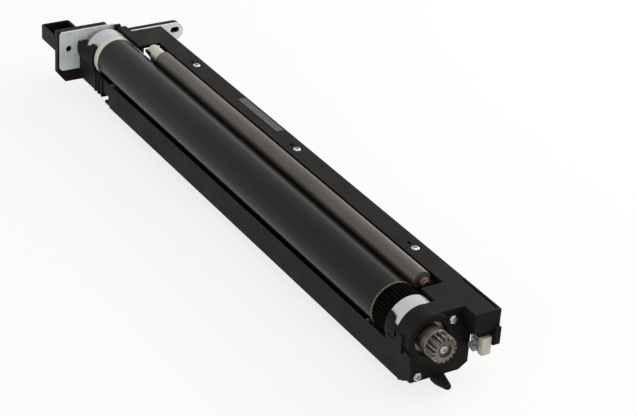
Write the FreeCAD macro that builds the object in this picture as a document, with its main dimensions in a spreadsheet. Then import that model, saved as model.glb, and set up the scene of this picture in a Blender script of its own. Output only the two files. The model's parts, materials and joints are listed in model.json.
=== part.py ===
import FreeCAD, Part
import math
import os
import Sketcher

# Printer drum unit. X runs along the drum towards the drive end, Y towards the rail, Z up.
# The origin is on the drum's axis, in the face of the drive end plate. Lengths are millimetres.
SIZES = {
    # photoconductor drum
    "drum_radius": 15.0,
    "drum_wall": 0.8,
    "drum_length": 360.0,
    "drum_setback": 36.0,
    "spigot_length": 10.0,
    "shaft_radius": 4.0,
    "flange_length": 15.0,
    "sleeve_length": 10.2,
    "sleeve_wall": 2.0,
    "hub_wall": 2.5,
    "rear_rim_length": 2.5,
    "rear_groove_length": 0.6,
    "rear_groove_depth": 0.5,
    "rear_flange_length": 14.7,
    "shaft_rear_reach": 23.5,
    # running gaps
    "turn_gap": 0.3,
    "journal_gap": 0.05,
    "seat_gap": 0.1,
    # gear train that drives the waste auger
    "gear_module": 0.75,
    "flange_teeth": 38.0,
    "idler_teeth": 18.0,
    "auger_teeth": 14.0,
    "addendum_share": 0.6,
    "dedendum_share": 1.1,
    "idler_turn": -133.0,
    "auger_turn": -103.0,
    "gear_width": 8.0,
    "gear_setback": 26.0,
    "gear_pin_radius": 2.0,
    # drive pinion on the shaft end
    "pinion_teeth": 16.0,
    "pinion_tip_radius": 8.2,
    "pinion_root_radius": 6.1,
    "pinion_collar_radius": 8.4,
    "pinion_collar_end": 7.5,
    "pinion_neck_radius": 7.9,
    "pinion_neck_gap": 0.3,
    "pinion_end": 15.3,
    "pinion_recess_radius": 4.2,
    "pinion_recess_depth": 2.0,
    "pinion_bevel": 0.8,
    "screw_head_radius": 2.6,
    "screw_head_height": 1.5,
    "screw_shank_radius": 1.3,
    "screw_shank_length": 8.0,
    "driver_slot_radius": 1.1,
    "driver_slot_depth": 0.8,
    "screw_head_room": 0.3,
    # ball bearings that carry the shaft
    "bearing_radius": 11.0,
    "bearing_width": 7.0,
    "bearing_ring": 2.0,
    "bearing_shield_depth": 0.5,
    # drive end housing
    "boss_radius": 15.2,
    "boss_proud": 2.0,
    "boss_lip_radius": 10.3,
    "boss_lip_length": 3.5,
    "boss_length": 12.5,
    "boss_bevel": 0.8,
    "plate_thickness": 2.5,
    "plate_left": -13.2,
    "plate_right": 28.0,
    "plate_bottom": -27.6,
    "cover_top": 15.0,
    "cover_thickness": 2.2,
    "cover_left": 9.5,
    "cover_reach": 25.0,
    "cover_brow": 1.0,
    "block_left": 21.0,
    "block_end": 12.0,
    "block_bottom": 2.4,
    "saddle_wall": 1.4,
    "saddle_length": 7.5,
    "saddle_top": 6.5,
    "lug_left": 34.5,
    "lug_start": 8.0,
    "lug_end": 14.0,
    "lug_bottom": -8.0,
    "lug_round": 2.5,
    "pin_across": 9.0,
    "pin_height": -29.5,
    "pin_base_radius": 4.0,
    "pin_tip_radius": 2.2,
    "pin_reach": 11.0,
    "pin_round": 1.8,
    "end_screw_across": 13.8,
    "end_screw_height": 8.5,
    "low_screw_across": -5.9,
    "low_screw_height": -24.0,
    # trough of the main frame
    "frame_wall": 1.8,
    "frame_left": -15.2,
    "frame_right": 38.0,
    "frame_bottom": -26.5,
    "frame_corner": 4.0,
    "frame_front": 18.0,
    "trough_rear_inset": 24.0,
    "side_wall_rear_inset": 13.0,
    "side_wall_top": -8.0,
    "side_wall_front": 4.0,
    "side_nose_rise": 6.0,
    "side_nose_back": 3.0,
    "side_front_top": -6.5,
    "side_saddle_top": -4.4,
    "runner_top": -23.3,
    "runner_inset": 0.8,
    "runner_rear_inset": 22.0,
    "shelf_left": 24.0,
    "shelf_top": -4.5,
    "shelf_thickness": 1.8,
    "auger_channel_gap": 1.0,
    "auger_bank_left": 19.0,
    "wall_setback": 3.5,
    "rear_wall_top": 2.0,
    "bracket_start": 3.0,
    "bracket_arm": 4.0,
    "bracket_top": 14.0,
    "column_bottom": 4.0,
    "ledge_setback": 8.0,
    "ledge_sunk": 4.5,
    "post_wall": 1.3,
    "pin_proud": 1.0,
    "side_step_low": -17.8,
    "side_hole_half": 1.8,
    "felt_thickness": 1.5,
    "blade_screw_setback": 5.0,
    "ear_thickness": 1.2,
    "plate_corner": 3.2,
    "top_groove_depth": 1.0,
    "top_groove_inset": 1.0,
    "top_groove_width": 1.6,
    "plug_seat_depth": 1.5,
    "rear_post_length": 5.0,
    # rail cover with its label and screws
    "rail_left": 24.3,
    "rail_thickness": 2.2,
    "rail_lip": 3.6,
    "rail_lip_wall": 1.2,
    "rail_rear_inset": 20.4,
    "rail_seam": 0.3,
    "rail_screw_across": 31.0,
    "rail_screw_first": 63.5,
    "rail_screw_rear_inset": 42.5,
    "rail_screw_count": 3.0,
    "rail_hole_offset": 6.5,
    "rail_recess_radius": 3.4,
    "rail_recess_depth": 0.8,
    "column_radius": 3.2,
    "label_rear_inset": 121.0,
    "label_length": 51.0,
    "label_left": 31.0,
    "label_width": 5.2,
    "label_thickness": 0.3,
    # charge roller
    "charge_radius": 5.8,
    "charge_turn": -54.0,
    "charge_core_radius": 3.0,
    "charge_journal_radius": 2.5,
    "charge_front": 46.0,
    "charge_rear_inset": 33.0,
    "bush_radius": 3.9,
    "bush_length": 5.0,
    "bush_flange_radius": 4.8,
    "bush_flange_length": 1.0,
    "journal_proud": 1.5,
    "bracket_wall": 1.5,
    "bracket_thickness": 5.0,
    # cleaning blade on its holder
    "blade_turn": -140.0,
    "blade_tilt": 22.0,
    "blade_length": 13.0,
    "blade_thickness": 2.0,
    "blade_side_gap": 6.0,
    "holder_thickness": 1.2,
    "holder_overlap": 5.0,
    "holder_reach": 10.0,
    "holder_flange": 8.0,
    "felt_width": 4.0,
    # waste auger
    "auger_core_radius": 2.0,
    "auger_flight_radius": 4.6,
    "auger_flight_thickness": 1.0,
    "auger_pitch": 24.0,
    # rear end housing
    "rear_face_setback": 25.0,
    "rear_boss_radius": 14.5,
    "rear_boss_length": 10.0,
    "rear_lip_radius": 9.0,
    "rear_lip_length": 1.5,
    "rear_wall_thickness": 2.5,
    "rear_wall_right": 34.0,
    "rear_wall_bottom": -22.0,
    "rib_thickness": 1.5,
    "rib_count": 12.0,
    "rib_depth": 0.8,
    "cradle_right": 13.5,
    "cradle_wall": 2.0,
    "cross_front_inset": 20.0,
    "cross_rear_setback": 5.0,
    "cross_left": 9.5,
    "cross_arm": 6.0,
    # locating plate
    "locating_thickness": 1.5,
    "locating_left": -30.0,
    "locating_top": 13.0,
    "locating_bottom": -16.0,
    "locating_right": 30.0,
    "locating_round": 2.5,
    "arm_radius": 7.8,
    "arm_end": 59.0,
    "hole_across": -23.3,
    "hole_radius": 2.25,
    "slot_across": 59.9,
    "slot_length": 7.0,
    "slot_radius": 2.25,
    # rear handle
    "handle_back": 13.5,
    "handle_wall": 2.0,
    "handle_left": -34.0,
    "handle_bottom": -23.0,
    "handle_chamfer": 7.0,
    "handle_arm_right": 52.0,
    "handle_arm_top": 10.0,
    "grip_left": -29.5,
    "grip_right": -7.0,
    "grip_top": 6.5,
    "grip_bottom": -8.0,
    "grip_length": 20.0,
    "grip_round": 2.0,
    "rear_screw_across": 21.0,
    "rear_screw_height": 5.0,
    "rear_low_screw_across": 0.0,
    "rear_low_screw_height": -18.3,
    # connector under the drive end block
    "plug_left": 27.9,
    "plug_width": 5.4,
    "plug_top": 1.9,
    "plug_bottom": -13.0,
    "plug_rear": 0.5,
    "plug_front": 9.6,
    "plug_wall": 0.8,
    "face_thickness": 2.6,
    "face_over": 0.5,
    "clip_length": 6.0,
    "clip_height": 3.0,
    "clip_width": 2.2,
    "contact_count": 6.0,
    "contact_width": 0.7,
    "contact_pitch": 1.6,
}

doc = FreeCAD.newDocument("drum_unit")
sheet = doc.addObject("Spreadsheet::Sheet", "Sizes")


class Size:
    """A length or angle that knows its value and the sheet expression that gives it."""

    def __init__(self, value, text):
        self.value = value
        self.text = text

    def __add__(self, other):
        other = as_size(other)
        return Size(self.value + other.value, f"({self.text} + {other.text})")

    def __sub__(self, other):
        other = as_size(other)
        return Size(self.value - other.value, f"({self.text} - {other.text})")

    def __mul__(self, other):
        other = as_size(other)
        return Size(self.value * other.value, f"({self.text} * {other.text})")

    def __truediv__(self, other):
        other = as_size(other)
        return Size(self.value / other.value, f"({self.text} / {other.text})")

    def __radd__(self, other):
        return as_size(other) + self

    def __rsub__(self, other):
        return as_size(other) - self

    def __rmul__(self, other):
        return as_size(other) * self

    def __neg__(self):
        return Size(-self.value, f"(0 - {self.text})")


def as_size(item):
    """Wrap a plain number as a Size."""
    if isinstance(item, Size):
        return item
    return Size(float(item), f"({item})")


def sine(angle):
    return Size(math.sin(math.radians(angle.value)), f"sin({angle.text} * 1 deg)")


def cosine(angle):
    return Size(math.cos(math.radians(angle.value)), f"cos({angle.text} * 1 deg)")


class Sheet:
    """Every named size, read as an attribute."""


def fill_sheet():
    """Write the sizes to the sheet and hand them back as Size values."""
    sizes = Sheet()
    for row, (name, value) in enumerate(SIZES.items(), start=1):
        sheet.set(f"A{row}", name)
        sheet.set(f"B{row}", str(value))
        sheet.setAlias(f"B{row}", name)
        setattr(sizes, name, Size(value, f"Sizes.{name}"))
    doc.recompute()
    return sizes


d = fill_sheet()

PLANES = {"x": "YZ_Plane", "y": "XZ_Plane", "z": "XY_Plane"}
NODES = []
CUTS = []


def new_body(name, across=None, height=None, turn=None):
    """Start a sub-part; across and height place its own X axis, turn rotates it about that axis."""
    body = doc.addObject("PartDesign::Body", name)
    body.Label = name
    body.AllowCompound = True
    NODES.append(body)
    if turn is not None:
        body.Placement.Rotation = FreeCAD.Rotation(FreeCAD.Vector(1, 0, 0), turn.value)
        body.setExpression("Placement.Rotation.Angle", f"{turn.text} * 1 deg")
    if across is not None:
        body.setExpression("Placement.Base.y", across.text)
        body.setExpression("Placement.Base.z", height.text)
    return body


def origin_part(body, role):
    """Find one of the body's own origin planes or axes."""
    return next(item for item in body.Origin.OriginFeatures if item.Role == role)


class Ring:
    """A circle in a sketch."""

    def __init__(self, across, up, radius):
        self.centre = (as_size(across), as_size(up))
        self.radius = as_size(radius)


def bind_point(sketch, geometry, vertex, point):
    """Tie one sketch point to its two sheet expressions, measured from the sketch's origin."""
    for kind, size in zip(("DistanceX", "DistanceY"), point):
        index = sketch.addConstraint(Sketcher.Constraint(kind, -1, 1, geometry, vertex, size.value))
        sketch.setExpression(f"Constraints[{index}]", size.text)


def add_loop(sketch, loop):
    """Add a closed outline, which is a ring or a list of corners."""
    first = sketch.GeometryCount
    if isinstance(loop, Ring):
        centre = FreeCAD.Vector(loop.centre[0].value, loop.centre[1].value, 0)
        normal = FreeCAD.Vector(0, 0, 1)
        sketch.addGeometry(Part.Circle(centre, normal, loop.radius.value), False)
        bind_point(sketch, first, 3, loop.centre)
        index = sketch.addConstraint(Sketcher.Constraint("Radius", first, loop.radius.value))
        sketch.setExpression(f"Constraints[{index}]", loop.radius.text)
        return
    corners = [(as_size(u), as_size(v)) for u, v in loop]
    spots = [FreeCAD.Vector(u.value, v.value, 0) for u, v in corners]
    count = len(corners)
    for i in range(count):
        sketch.addGeometry(Part.LineSegment(spots[i], spots[(i + 1) % count]), False)
    for i in range(count):
        follower = first + (i + 1) % count
        sketch.addConstraint(Sketcher.Constraint("Coincident", first + i, 2, follower, 1))
    for i, corner in enumerate(corners):
        bind_point(sketch, first + i, 1, corner)


def new_sketch(body, name, axis, place, loops):
    """Draw loops on the plane square to an axis, at a place along it."""
    sketch = body.newObject("Sketcher::SketchObject", f"{body.Name}_{name}_sketch")
    sketch.AttachmentSupport = [(origin_part(body, PLANES[axis]), "")]
    sketch.MapMode = "FlatFace"
    offset = -place if axis == "y" else place
    sketch.setExpression("AttachmentOffset.Base.z", offset.text)
    for loop in loops:
        add_loop(sketch, loop)
    return sketch


def pad(body, name, axis, start, end, *loops):
    """Add material along an axis from start to end."""
    start = as_size(start)
    sketch = new_sketch(body, name, axis, start, loops)
    feature = body.newObject("PartDesign::Pad", f"{body.Name}_{name}")
    feature.Profile = sketch
    feature.Reversed = axis == "y"
    feature.setExpression("Length", (end - start).text)
    return feature


def cut(body, name, axis, start, end, *loops):
    """Take material away along an axis from start to end."""
    start = as_size(start)
    sketch = new_sketch(body, name, axis, start, loops)
    feature = body.newObject("PartDesign::Pocket", f"{body.Name}_{name}")
    feature.Profile = sketch
    feature.Reversed = axis != "y"
    feature.setExpression("Length", (end - start).text)
    CUTS.append(feature)
    return feature


def spin_sketch(body, name, points, across, height):
    """Draw a profile of (x, radius) corners with its own centre line along X."""
    across = as_size(across)
    height = as_size(height)
    loop = [(x, height + radius) for x, radius in points]
    sketch = new_sketch(body, name, "y", across, [loop])
    ends = [as_size(points[0][0]), as_size(points[0][0]) + 10]
    line = sketch.addGeometry(Part.LineSegment(*[FreeCAD.Vector(x.value, height.value, 0) for x in ends]), True)
    bind_point(sketch, line, 1, (ends[0], height))
    bind_point(sketch, line, 2, (ends[1], height))
    return sketch


def spin(body, name, points, across=0, height=0):
    """Turn a profile of (x, radius) corners once round its centre line."""
    sketch = spin_sketch(body, name, points, across, height)
    feature = body.newObject("PartDesign::Revolution", f"{body.Name}_{name}")
    feature.Profile = sketch
    feature.ReferenceAxis = (sketch, ["Axis0"])
    feature.Angle = 360
    return feature


def groove(body, name, points, across=0, height=0):
    """Turn a profile of (x, radius) corners out of the body."""
    sketch = spin_sketch(body, name, points, across, height)
    feature = body.newObject("PartDesign::Groove", f"{body.Name}_{name}")
    feature.Profile = sketch
    feature.ReferenceAxis = (sketch, ["Axis0"])
    feature.Angle = 360
    CUTS.append(feature)
    return feature


def repeat_round(body, name, features, count):
    """Repeat features evenly round the body's own X axis."""
    pattern = body.newObject("PartDesign::PolarPattern", f"{body.Name}_{name}")
    pattern.Originals = features
    pattern.Axis = (origin_part(body, "X_Axis"), [""])
    pattern.Angle = 360
    pattern.setExpression("Occurrences", count.text)
    body.Tip = pattern
    return pattern


def repeat_along(body, name, features, role, length, count, backwards=False):
    """Repeat features along one of the body's axes, over a total length."""
    pattern = body.newObject("PartDesign::LinearPattern", f"{body.Name}_{name}")
    pattern.Originals = features
    pattern.Direction = (origin_part(body, role), [""])
    pattern.Reversed = backwards
    pattern.setExpression("Length", length.text)
    pattern.setExpression("Occurrences", count.text)
    body.Tip = pattern
    return pattern


def round_edges(body, name, radius, wanted):
    """Round the edges of the body that a test picks."""
    doc.recompute()
    base = body.Tip
    names = [f"Edge{i}" for i, edge in enumerate(base.Shape.Edges, start=1) if wanted(edge)]
    feature = body.newObject("PartDesign::Fillet", f"{body.Name}_{name}")
    feature.Base = (base, names)
    feature.setExpression("Radius", radius.text)
    return feature


def box_loop(left, low, right, high):
    """A rectangle's corners."""
    return [(left, low), (right, low), (right, high), (left, high)]


def runs_along(edge, axis):
    """Whether a straight edge lies along an axis."""
    if edge.Curve.TypeId != "Part::GeomLine":
        return False
    direction = edge.tangentAt(edge.FirstParameter)
    return abs(getattr(direction, axis)) > 0.999


def near(value, size):
    """Whether a coordinate is at a size, to a hundredth of a millimetre."""
    return abs(value - size.value) < 0.01


# Places along the drum's axis
tube_front = -d.drum_setback
tube_rear = tube_front - d.drum_length
rear_face = tube_rear - d.rear_face_setback
side_wall_rear = tube_rear + d.side_wall_rear_inset
runner_rear = tube_rear + d.runner_rear_inset
rail_rear = tube_rear + d.rail_rear_inset
label_rear = tube_rear + d.label_rear_inset
cross_front = tube_rear + d.cross_front_inset
cross_rear = tube_rear - d.cross_rear_setback
rail_screw_span = -d.rail_screw_first - (rail_rear + d.rail_screw_rear_inset)
tube_bore = d.drum_radius - d.drum_wall
flange_front = tube_front + d.flange_length
sleeve_front = flange_front + d.sleeve_length
rear_flange_end = tube_rear - d.rear_flange_length
shaft_rear = tube_rear - d.shaft_rear_reach
shaft_front = d.pinion_end - d.pinion_recess_depth
boss_face = d.boss_proud
boss_back = boss_face - d.boss_length
front_bearing_face = boss_face - d.boss_lip_length
rear_bearing_face = rear_face + d.rear_lip_length
end_box_back = -d.frame_front
rail_front = -d.cover_reach - d.rail_seam
rail_underside = d.cover_top - d.rail_thickness
lip_bottom = rail_underside - d.rail_lip
shelf_underside = d.shelf_top - d.shelf_thickness

# Places of the turning axes across the drum
def polar(turn, distance):
    """A point at a distance from the drum's axis, turned about X from straight up."""
    return -(distance * sine(turn)), distance * cosine(turn)


flange_pitch = d.flange_teeth * d.gear_module / 2
idler_pitch = d.idler_teeth * d.gear_module / 2
auger_pitch_radius = d.auger_teeth * d.gear_module / 2
idler_y, idler_z = polar(d.idler_turn, flange_pitch + idler_pitch)
auger_step_y, auger_step_z = polar(d.auger_turn, idler_pitch + auger_pitch_radius)
auger_y = idler_y + auger_step_y
auger_z = idler_z + auger_step_z
charge_y, charge_z = polar(d.charge_turn, d.drum_radius + d.charge_radius + d.turn_gap)
charge_front = -d.charge_front
charge_rear = tube_rear + d.charge_rear_inset
gear_front = -d.gear_setback
gear_back = gear_front - d.gear_width
channel_radius = d.auger_flight_radius + d.auger_channel_gap

# Angles that put a tooth of one gear in a gap of the next
half_turn = as_size(180)
flange_phase = d.idler_turn + half_turn * 30 / d.flange_teeth
idler_phase = d.idler_turn + half_turn + half_turn / d.idler_teeth
idler_lead = idler_phase - d.auger_turn
auger_phase = (d.auger_turn + half_turn + half_turn * 11 / d.auger_teeth
               - idler_lead * d.idler_teeth / d.auger_teeth)


def gear_teeth(body, start, end, teeth, bore):
    """Cut a spur gear: a disc with trapezoid teeth patterned round it."""
    pitch_radius = teeth * d.gear_module / 2
    root = pitch_radius - d.gear_module * d.dedendum_share
    tip = pitch_radius + d.gear_module * d.addendum_share
    root_half = d.gear_module * 0.85
    tip_half = d.gear_module * 0.36
    sunk = root - d.gear_module
    pad(body, "disc", "x", start, end, Ring(0, 0, root), Ring(0, 0, bore))
    tooth = pad(body, "tooth", "x", start, end,
                [(-root_half, sunk), (root_half, sunk), (root_half, root), (tip_half, tip),
                 (-tip_half, tip), (-root_half, root)])
    repeat_round(body, "teeth", [tooth], teeth)


def make_drum_tube():
    body = new_body("drum_tube")
    spin(body, "tube", [(tube_rear, tube_bore), (tube_rear, d.drum_radius),
                        (tube_front, d.drum_radius), (tube_front, tube_bore)])


def make_drive_flange():
    """Toothed flange that plugs the drum's drive end."""
    body = new_body("drive_flange", turn=flange_phase)
    gear_teeth(body, tube_front, flange_front, d.flange_teeth, d.shaft_radius)
    spin(body, "spigot", [(tube_front, d.shaft_radius), (tube_front, tube_bore),
                          (tube_front - d.spigot_length, tube_bore),
                          (tube_front - d.spigot_length, d.shaft_radius)])


def make_drive_sleeve():
    """White cup between the toothed flange and the bearing boss."""
    body = new_body("drive_sleeve")
    hub = d.shaft_radius + d.hub_wall
    rim = d.drum_radius - d.sleeve_wall
    web = flange_front + d.sleeve_wall
    spin(body, "cup", [(flange_front, d.shaft_radius), (flange_front, d.drum_radius),
                       (sleeve_front, d.drum_radius), (sleeve_front, rim), (web, rim),
                       (web, hub), (sleeve_front, hub), (sleeve_front, d.shaft_radius)])


def make_rear_flange():
    """White flange that plugs the far end of the drum."""
    body = new_body("rear_flange")
    rim_end = tube_rear - d.rear_rim_length
    groove_end = rim_end - d.rear_groove_length
    groove_radius = d.drum_radius - d.rear_groove_depth
    spigot_end = tube_rear + d.spigot_length
    spin(body, "turned", [(spigot_end, d.shaft_radius), (spigot_end, tube_bore),
                          (tube_rear, tube_bore), (tube_rear, d.drum_radius),
                          (rim_end, d.drum_radius), (rim_end, groove_radius),
                          (groove_end, groove_radius), (groove_end, d.drum_radius),
                          (rear_flange_end, d.drum_radius), (rear_flange_end, d.shaft_radius)])


def make_drum_shaft():
    body = new_body("drum_shaft")
    screw_end = shaft_front - d.screw_shank_length
    spin(body, "rod", [(shaft_rear, 0), (shaft_rear, d.shaft_radius), (shaft_front, d.shaft_radius),
                       (shaft_front, d.screw_shank_radius), (screw_end, d.screw_shank_radius),
                       (screw_end, 0)])


def make_drive_pinion():
    """Sixteen-tooth steel pinion with a plain collar, seen end on in the boss."""
    body = new_body("drive_pinion")
    neck_start = front_bearing_face + d.turn_gap
    collar_start = d.ear_thickness + d.screw_head_height + d.pinion_neck_gap
    recess = d.pinion_end - d.pinion_recess_depth
    collar_bevel = d.pinion_collar_end - d.pinion_bevel
    bevel_radius = d.pinion_collar_radius - d.pinion_bevel
    spin(body, "blank", [(neck_start, d.shaft_radius), (neck_start, d.pinion_neck_radius),
                         (collar_start, d.pinion_neck_radius), (collar_start, d.pinion_collar_radius),
                         (collar_bevel, d.pinion_collar_radius),
                         (d.pinion_collar_end, bevel_radius),
                         (d.pinion_collar_end, d.pinion_root_radius),
                         (d.pinion_end, d.pinion_root_radius),
                         (d.pinion_end, d.pinion_recess_radius), (recess, d.pinion_recess_radius),
                         (recess, d.shaft_radius)])
    pitch = (d.pinion_tip_radius + d.pinion_root_radius) * math.pi / d.pinion_teeth
    root_half = pitch * 0.3
    flank_half = pitch * 0.24
    tip_half = pitch * 0.13
    sunk = d.pinion_root_radius - d.pinion_bevel
    middle = (d.pinion_tip_radius + d.pinion_root_radius) / 2
    tooth = pad(body, "tooth", "x", collar_bevel, d.pinion_end,
                [(-root_half, sunk), (root_half, sunk), (root_half, d.pinion_root_radius),
                 (flank_half, middle), (tip_half, d.pinion_tip_radius),
                 (-tip_half, d.pinion_tip_radius), (-flank_half, middle),
                 (-root_half, d.pinion_root_radius)])
    repeat_round(body, "teeth", [tooth], d.pinion_teeth)
    outside = d.pinion_tip_radius + d.pinion_bevel
    groove(body, "end_bevel", [(d.pinion_end - d.pinion_bevel, outside),
                               (d.pinion_end - d.pinion_bevel, d.pinion_tip_radius),
                               (d.pinion_end, d.pinion_tip_radius - d.pinion_bevel),
                               (d.pinion_end + d.pinion_bevel, d.pinion_tip_radius - d.pinion_bevel),
                               (d.pinion_end + d.pinion_bevel, outside)])


def add_screw(body, name, seat, across, height):
    """A pan-head screw whose head sits on a seat and points back along X."""
    head_end = seat + d.screw_head_height
    tip = seat - d.screw_shank_length
    bevel = d.screw_head_height / 3
    spin(body, name, [(tip, 0), (tip, d.screw_shank_radius), (seat, d.screw_shank_radius),
                      (seat, d.screw_head_radius), (head_end - bevel, d.screw_head_radius),
                      (head_end, d.screw_head_radius - bevel), (head_end, d.driver_slot_radius),
                      (head_end - d.driver_slot_depth, d.driver_slot_radius),
                      (head_end - d.driver_slot_depth, 0)], across, height)


def make_end_screws():
    add_screw(new_body("pinion_screw"), "screw", shaft_front, as_size(0), as_size(0))
    add_screw(new_body("end_plate_screw"), "screw", d.ear_thickness, d.end_screw_across, d.end_screw_height)
    add_screw(new_body("lower_screw"), "screw", as_size(0), d.low_screw_across, d.low_screw_height)


def make_bearing(name, front):
    """Shielded ball bearing, drawn as its rings and shields."""
    body = new_body(name)
    back = front - d.bearing_width
    bore = d.shaft_radius + d.journal_gap
    inner = d.shaft_radius + d.bearing_ring
    outer = d.bearing_radius - d.bearing_ring
    front_shield = front - d.bearing_shield_depth
    back_shield = back + d.bearing_shield_depth
    spin(body, "rings", [(back, bore), (back, inner), (back_shield, inner), (back_shield, outer),
                         (back, outer), (back, d.bearing_radius), (front, d.bearing_radius),
                         (front, outer), (front_shield, outer), (front_shield, inner),
                         (front, inner), (front, bore)])


# Blade frame: turned so that its Y runs along the blade and its Z towards the drum's side
blade_angle = d.blade_turn - d.blade_tilt + half_turn
contact_y, contact_z = polar(d.blade_turn, d.drum_radius + d.turn_gap)
holder_low = -d.blade_thickness - d.holder_thickness
holder_start = d.blade_length - d.holder_overlap
holder_end = d.blade_length + d.holder_reach
chamber_front = tube_front - d.wall_setback
chamber_back = chamber_front - d.frame_wall
rear_wall_back = tube_rear + d.trough_rear_inset
rear_wall_face = rear_wall_back + d.frame_wall
floor_top = d.frame_bottom + d.frame_wall
wall_inside = d.frame_right - d.frame_wall
left_inside = d.frame_left + d.frame_wall
front_box_back = -d.frame_front
front_bush_start = charge_front + d.bracket_start
front_bush_end = front_bush_start + d.bush_length
rear_bush_start = charge_rear - d.bracket_start
rear_bush_end = rear_bush_start - d.bush_length
felt_outer = d.drum_radius + d.turn_gap + d.felt_thickness
blade_front = chamber_back - d.blade_side_gap
blade_rear = rear_wall_face + d.blade_side_gap


def blade_point(along, out):
    """A point of the blade's frame, given in the drum's frame."""
    y = contact_y + along * cosine(blade_angle) - out * sine(blade_angle)
    z = contact_z + along * sine(blade_angle) + out * cosine(blade_angle)
    return y, z


def make_front_bearing_holder():
    """Round boss that carries the front bearing, with an ear and a saddle beside the white sleeve."""
    body = new_body("front_bearing_holder")
    saddle_inner = d.drum_radius + d.turn_gap
    saddle_left = -saddle_inner - d.saddle_wall
    pad(body, "saddle", "x", boss_back - d.saddle_length, -d.plate_thickness,
        box_loop(saddle_left, d.side_wall_top + d.seat_gap, d.plate_left, d.saddle_top))
    ear_radius = d.screw_head_radius + d.frame_wall
    pad(body, "ear", "x", 0, d.ear_thickness, Ring(d.end_screw_across, d.end_screw_height, ear_radius))
    spin(body, "boss", [(boss_back, d.boss_lip_radius), (boss_back, d.boss_radius),
                        (boss_face - d.boss_bevel, d.boss_radius),
                        (boss_face, d.boss_radius - d.boss_bevel),
                        (boss_face, d.boss_lip_radius + d.boss_bevel),
                        (boss_face - d.boss_bevel, d.boss_lip_radius)])
    cut(body, "sleeve_room", "x", boss_back - d.saddle_length, boss_back, Ring(0, 0, saddle_inner))
    groove(body, "bearing_room", [(boss_back, 0), (boss_back, d.bearing_radius),
                                  (front_bearing_face, d.bearing_radius), (front_bearing_face, 0)])
    cut(body, "screw_hole", "x", boss_back, d.ear_thickness,
        Ring(d.end_screw_across, d.end_screw_height, d.screw_shank_radius + d.seat_gap))
    cut(body, "head_room", "x", d.ear_thickness, boss_face,
        Ring(d.end_screw_across, d.end_screw_height, d.screw_head_radius + d.screw_head_room))


def make_drive_end_cover():
    """Moulded end of the unit: plate, gear cover, connector block, lug, saddle and guide pin."""
    body = new_body("drive_end_cover")
    inside_top = d.cover_top - d.cover_thickness
    plate_back = -d.plate_thickness
    pad(body, "plate", "x", plate_back, 0,
        [(d.plate_left, d.side_wall_top), (d.plate_left, d.plate_bottom + d.plate_corner),
         (d.plate_left + d.plate_corner, d.plate_bottom),
         (d.plate_right - d.plate_corner * 1.8, d.plate_bottom),
         (d.plate_right, d.plate_bottom + d.plate_corner * 1.2),
         (d.plate_right, inside_top), (0, inside_top), (0, d.side_wall_top)])
    pad(body, "cover", "z", inside_top, d.cover_top,
        [(-d.cover_reach, d.cover_left), (-d.cover_reach, d.frame_right),
         (d.cover_brow, d.frame_right), (d.cover_brow, 0), (boss_back, 0), (boss_back, d.cover_left)])
    pad(body, "block", "z", d.block_bottom, inside_top,
        box_loop(front_box_back, d.block_left, d.block_end, d.frame_right))
    pad(body, "block_top", "z", inside_top, d.cover_top,
        box_loop(plate_back, d.block_left, d.block_end, d.frame_right))
    pad(body, "lug", "y", d.lug_left, d.frame_right,
        box_loop(d.lug_start, d.lug_bottom, d.lug_end, d.block_bottom + d.frame_wall))
    round_edges(body, "lug_round", d.lug_round,
                lambda edge: (runs_along(edge, "y") and near(edge.BoundBox.ZMin, d.lug_bottom)
                              and edge.BoundBox.XMin > d.cover_brow.value))
    spin(body, "pin", [(plate_back, 0), (plate_back, d.pin_base_radius), (d.cover_brow, d.pin_base_radius),
                       (d.pin_reach - d.pin_round, d.pin_tip_radius),
                       (d.pin_reach - d.pin_round * 0.3, d.pin_tip_radius * 0.72),
                       (d.pin_reach, d.pin_tip_radius * 0.3), (d.pin_reach, 0)],
         d.pin_across, d.pin_height)
    pad(body, "pin_root", "x", plate_back, 0,
        box_loop(d.pin_across - d.pin_base_radius, d.pin_height,
                 d.pin_across + d.pin_base_radius, d.plate_bottom + d.frame_wall))
    cut(body, "block_core", "x", front_box_back, plate_back,
        box_loop(d.block_left + d.frame_wall, d.block_bottom + d.frame_wall, wall_inside, inside_top))
    cut(body, "boss_hole", "x", boss_back, boss_face, Ring(0, 0, d.boss_radius))
    cut(body, "end_screw_hole", "x", plate_back, 0,
        Ring(d.end_screw_across, d.end_screw_height, d.screw_shank_radius),
        Ring(d.low_screw_across, d.low_screw_height, d.screw_shank_radius))
    cut(body, "plug_seat", "z", d.block_bottom, d.block_bottom + d.plug_seat_depth,
        box_loop(d.plug_rear, d.plug_left, d.plug_front, d.plug_left + d.plug_width))
    cut(body, "top_groove", "z", d.cover_top - d.top_groove_depth, d.cover_top,
        box_loop(-d.cover_reach + d.frame_wall, d.frame_right - d.top_groove_inset - d.top_groove_width,
                 d.block_end - d.top_groove_inset * 2, d.frame_right - d.top_groove_inset))


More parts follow.
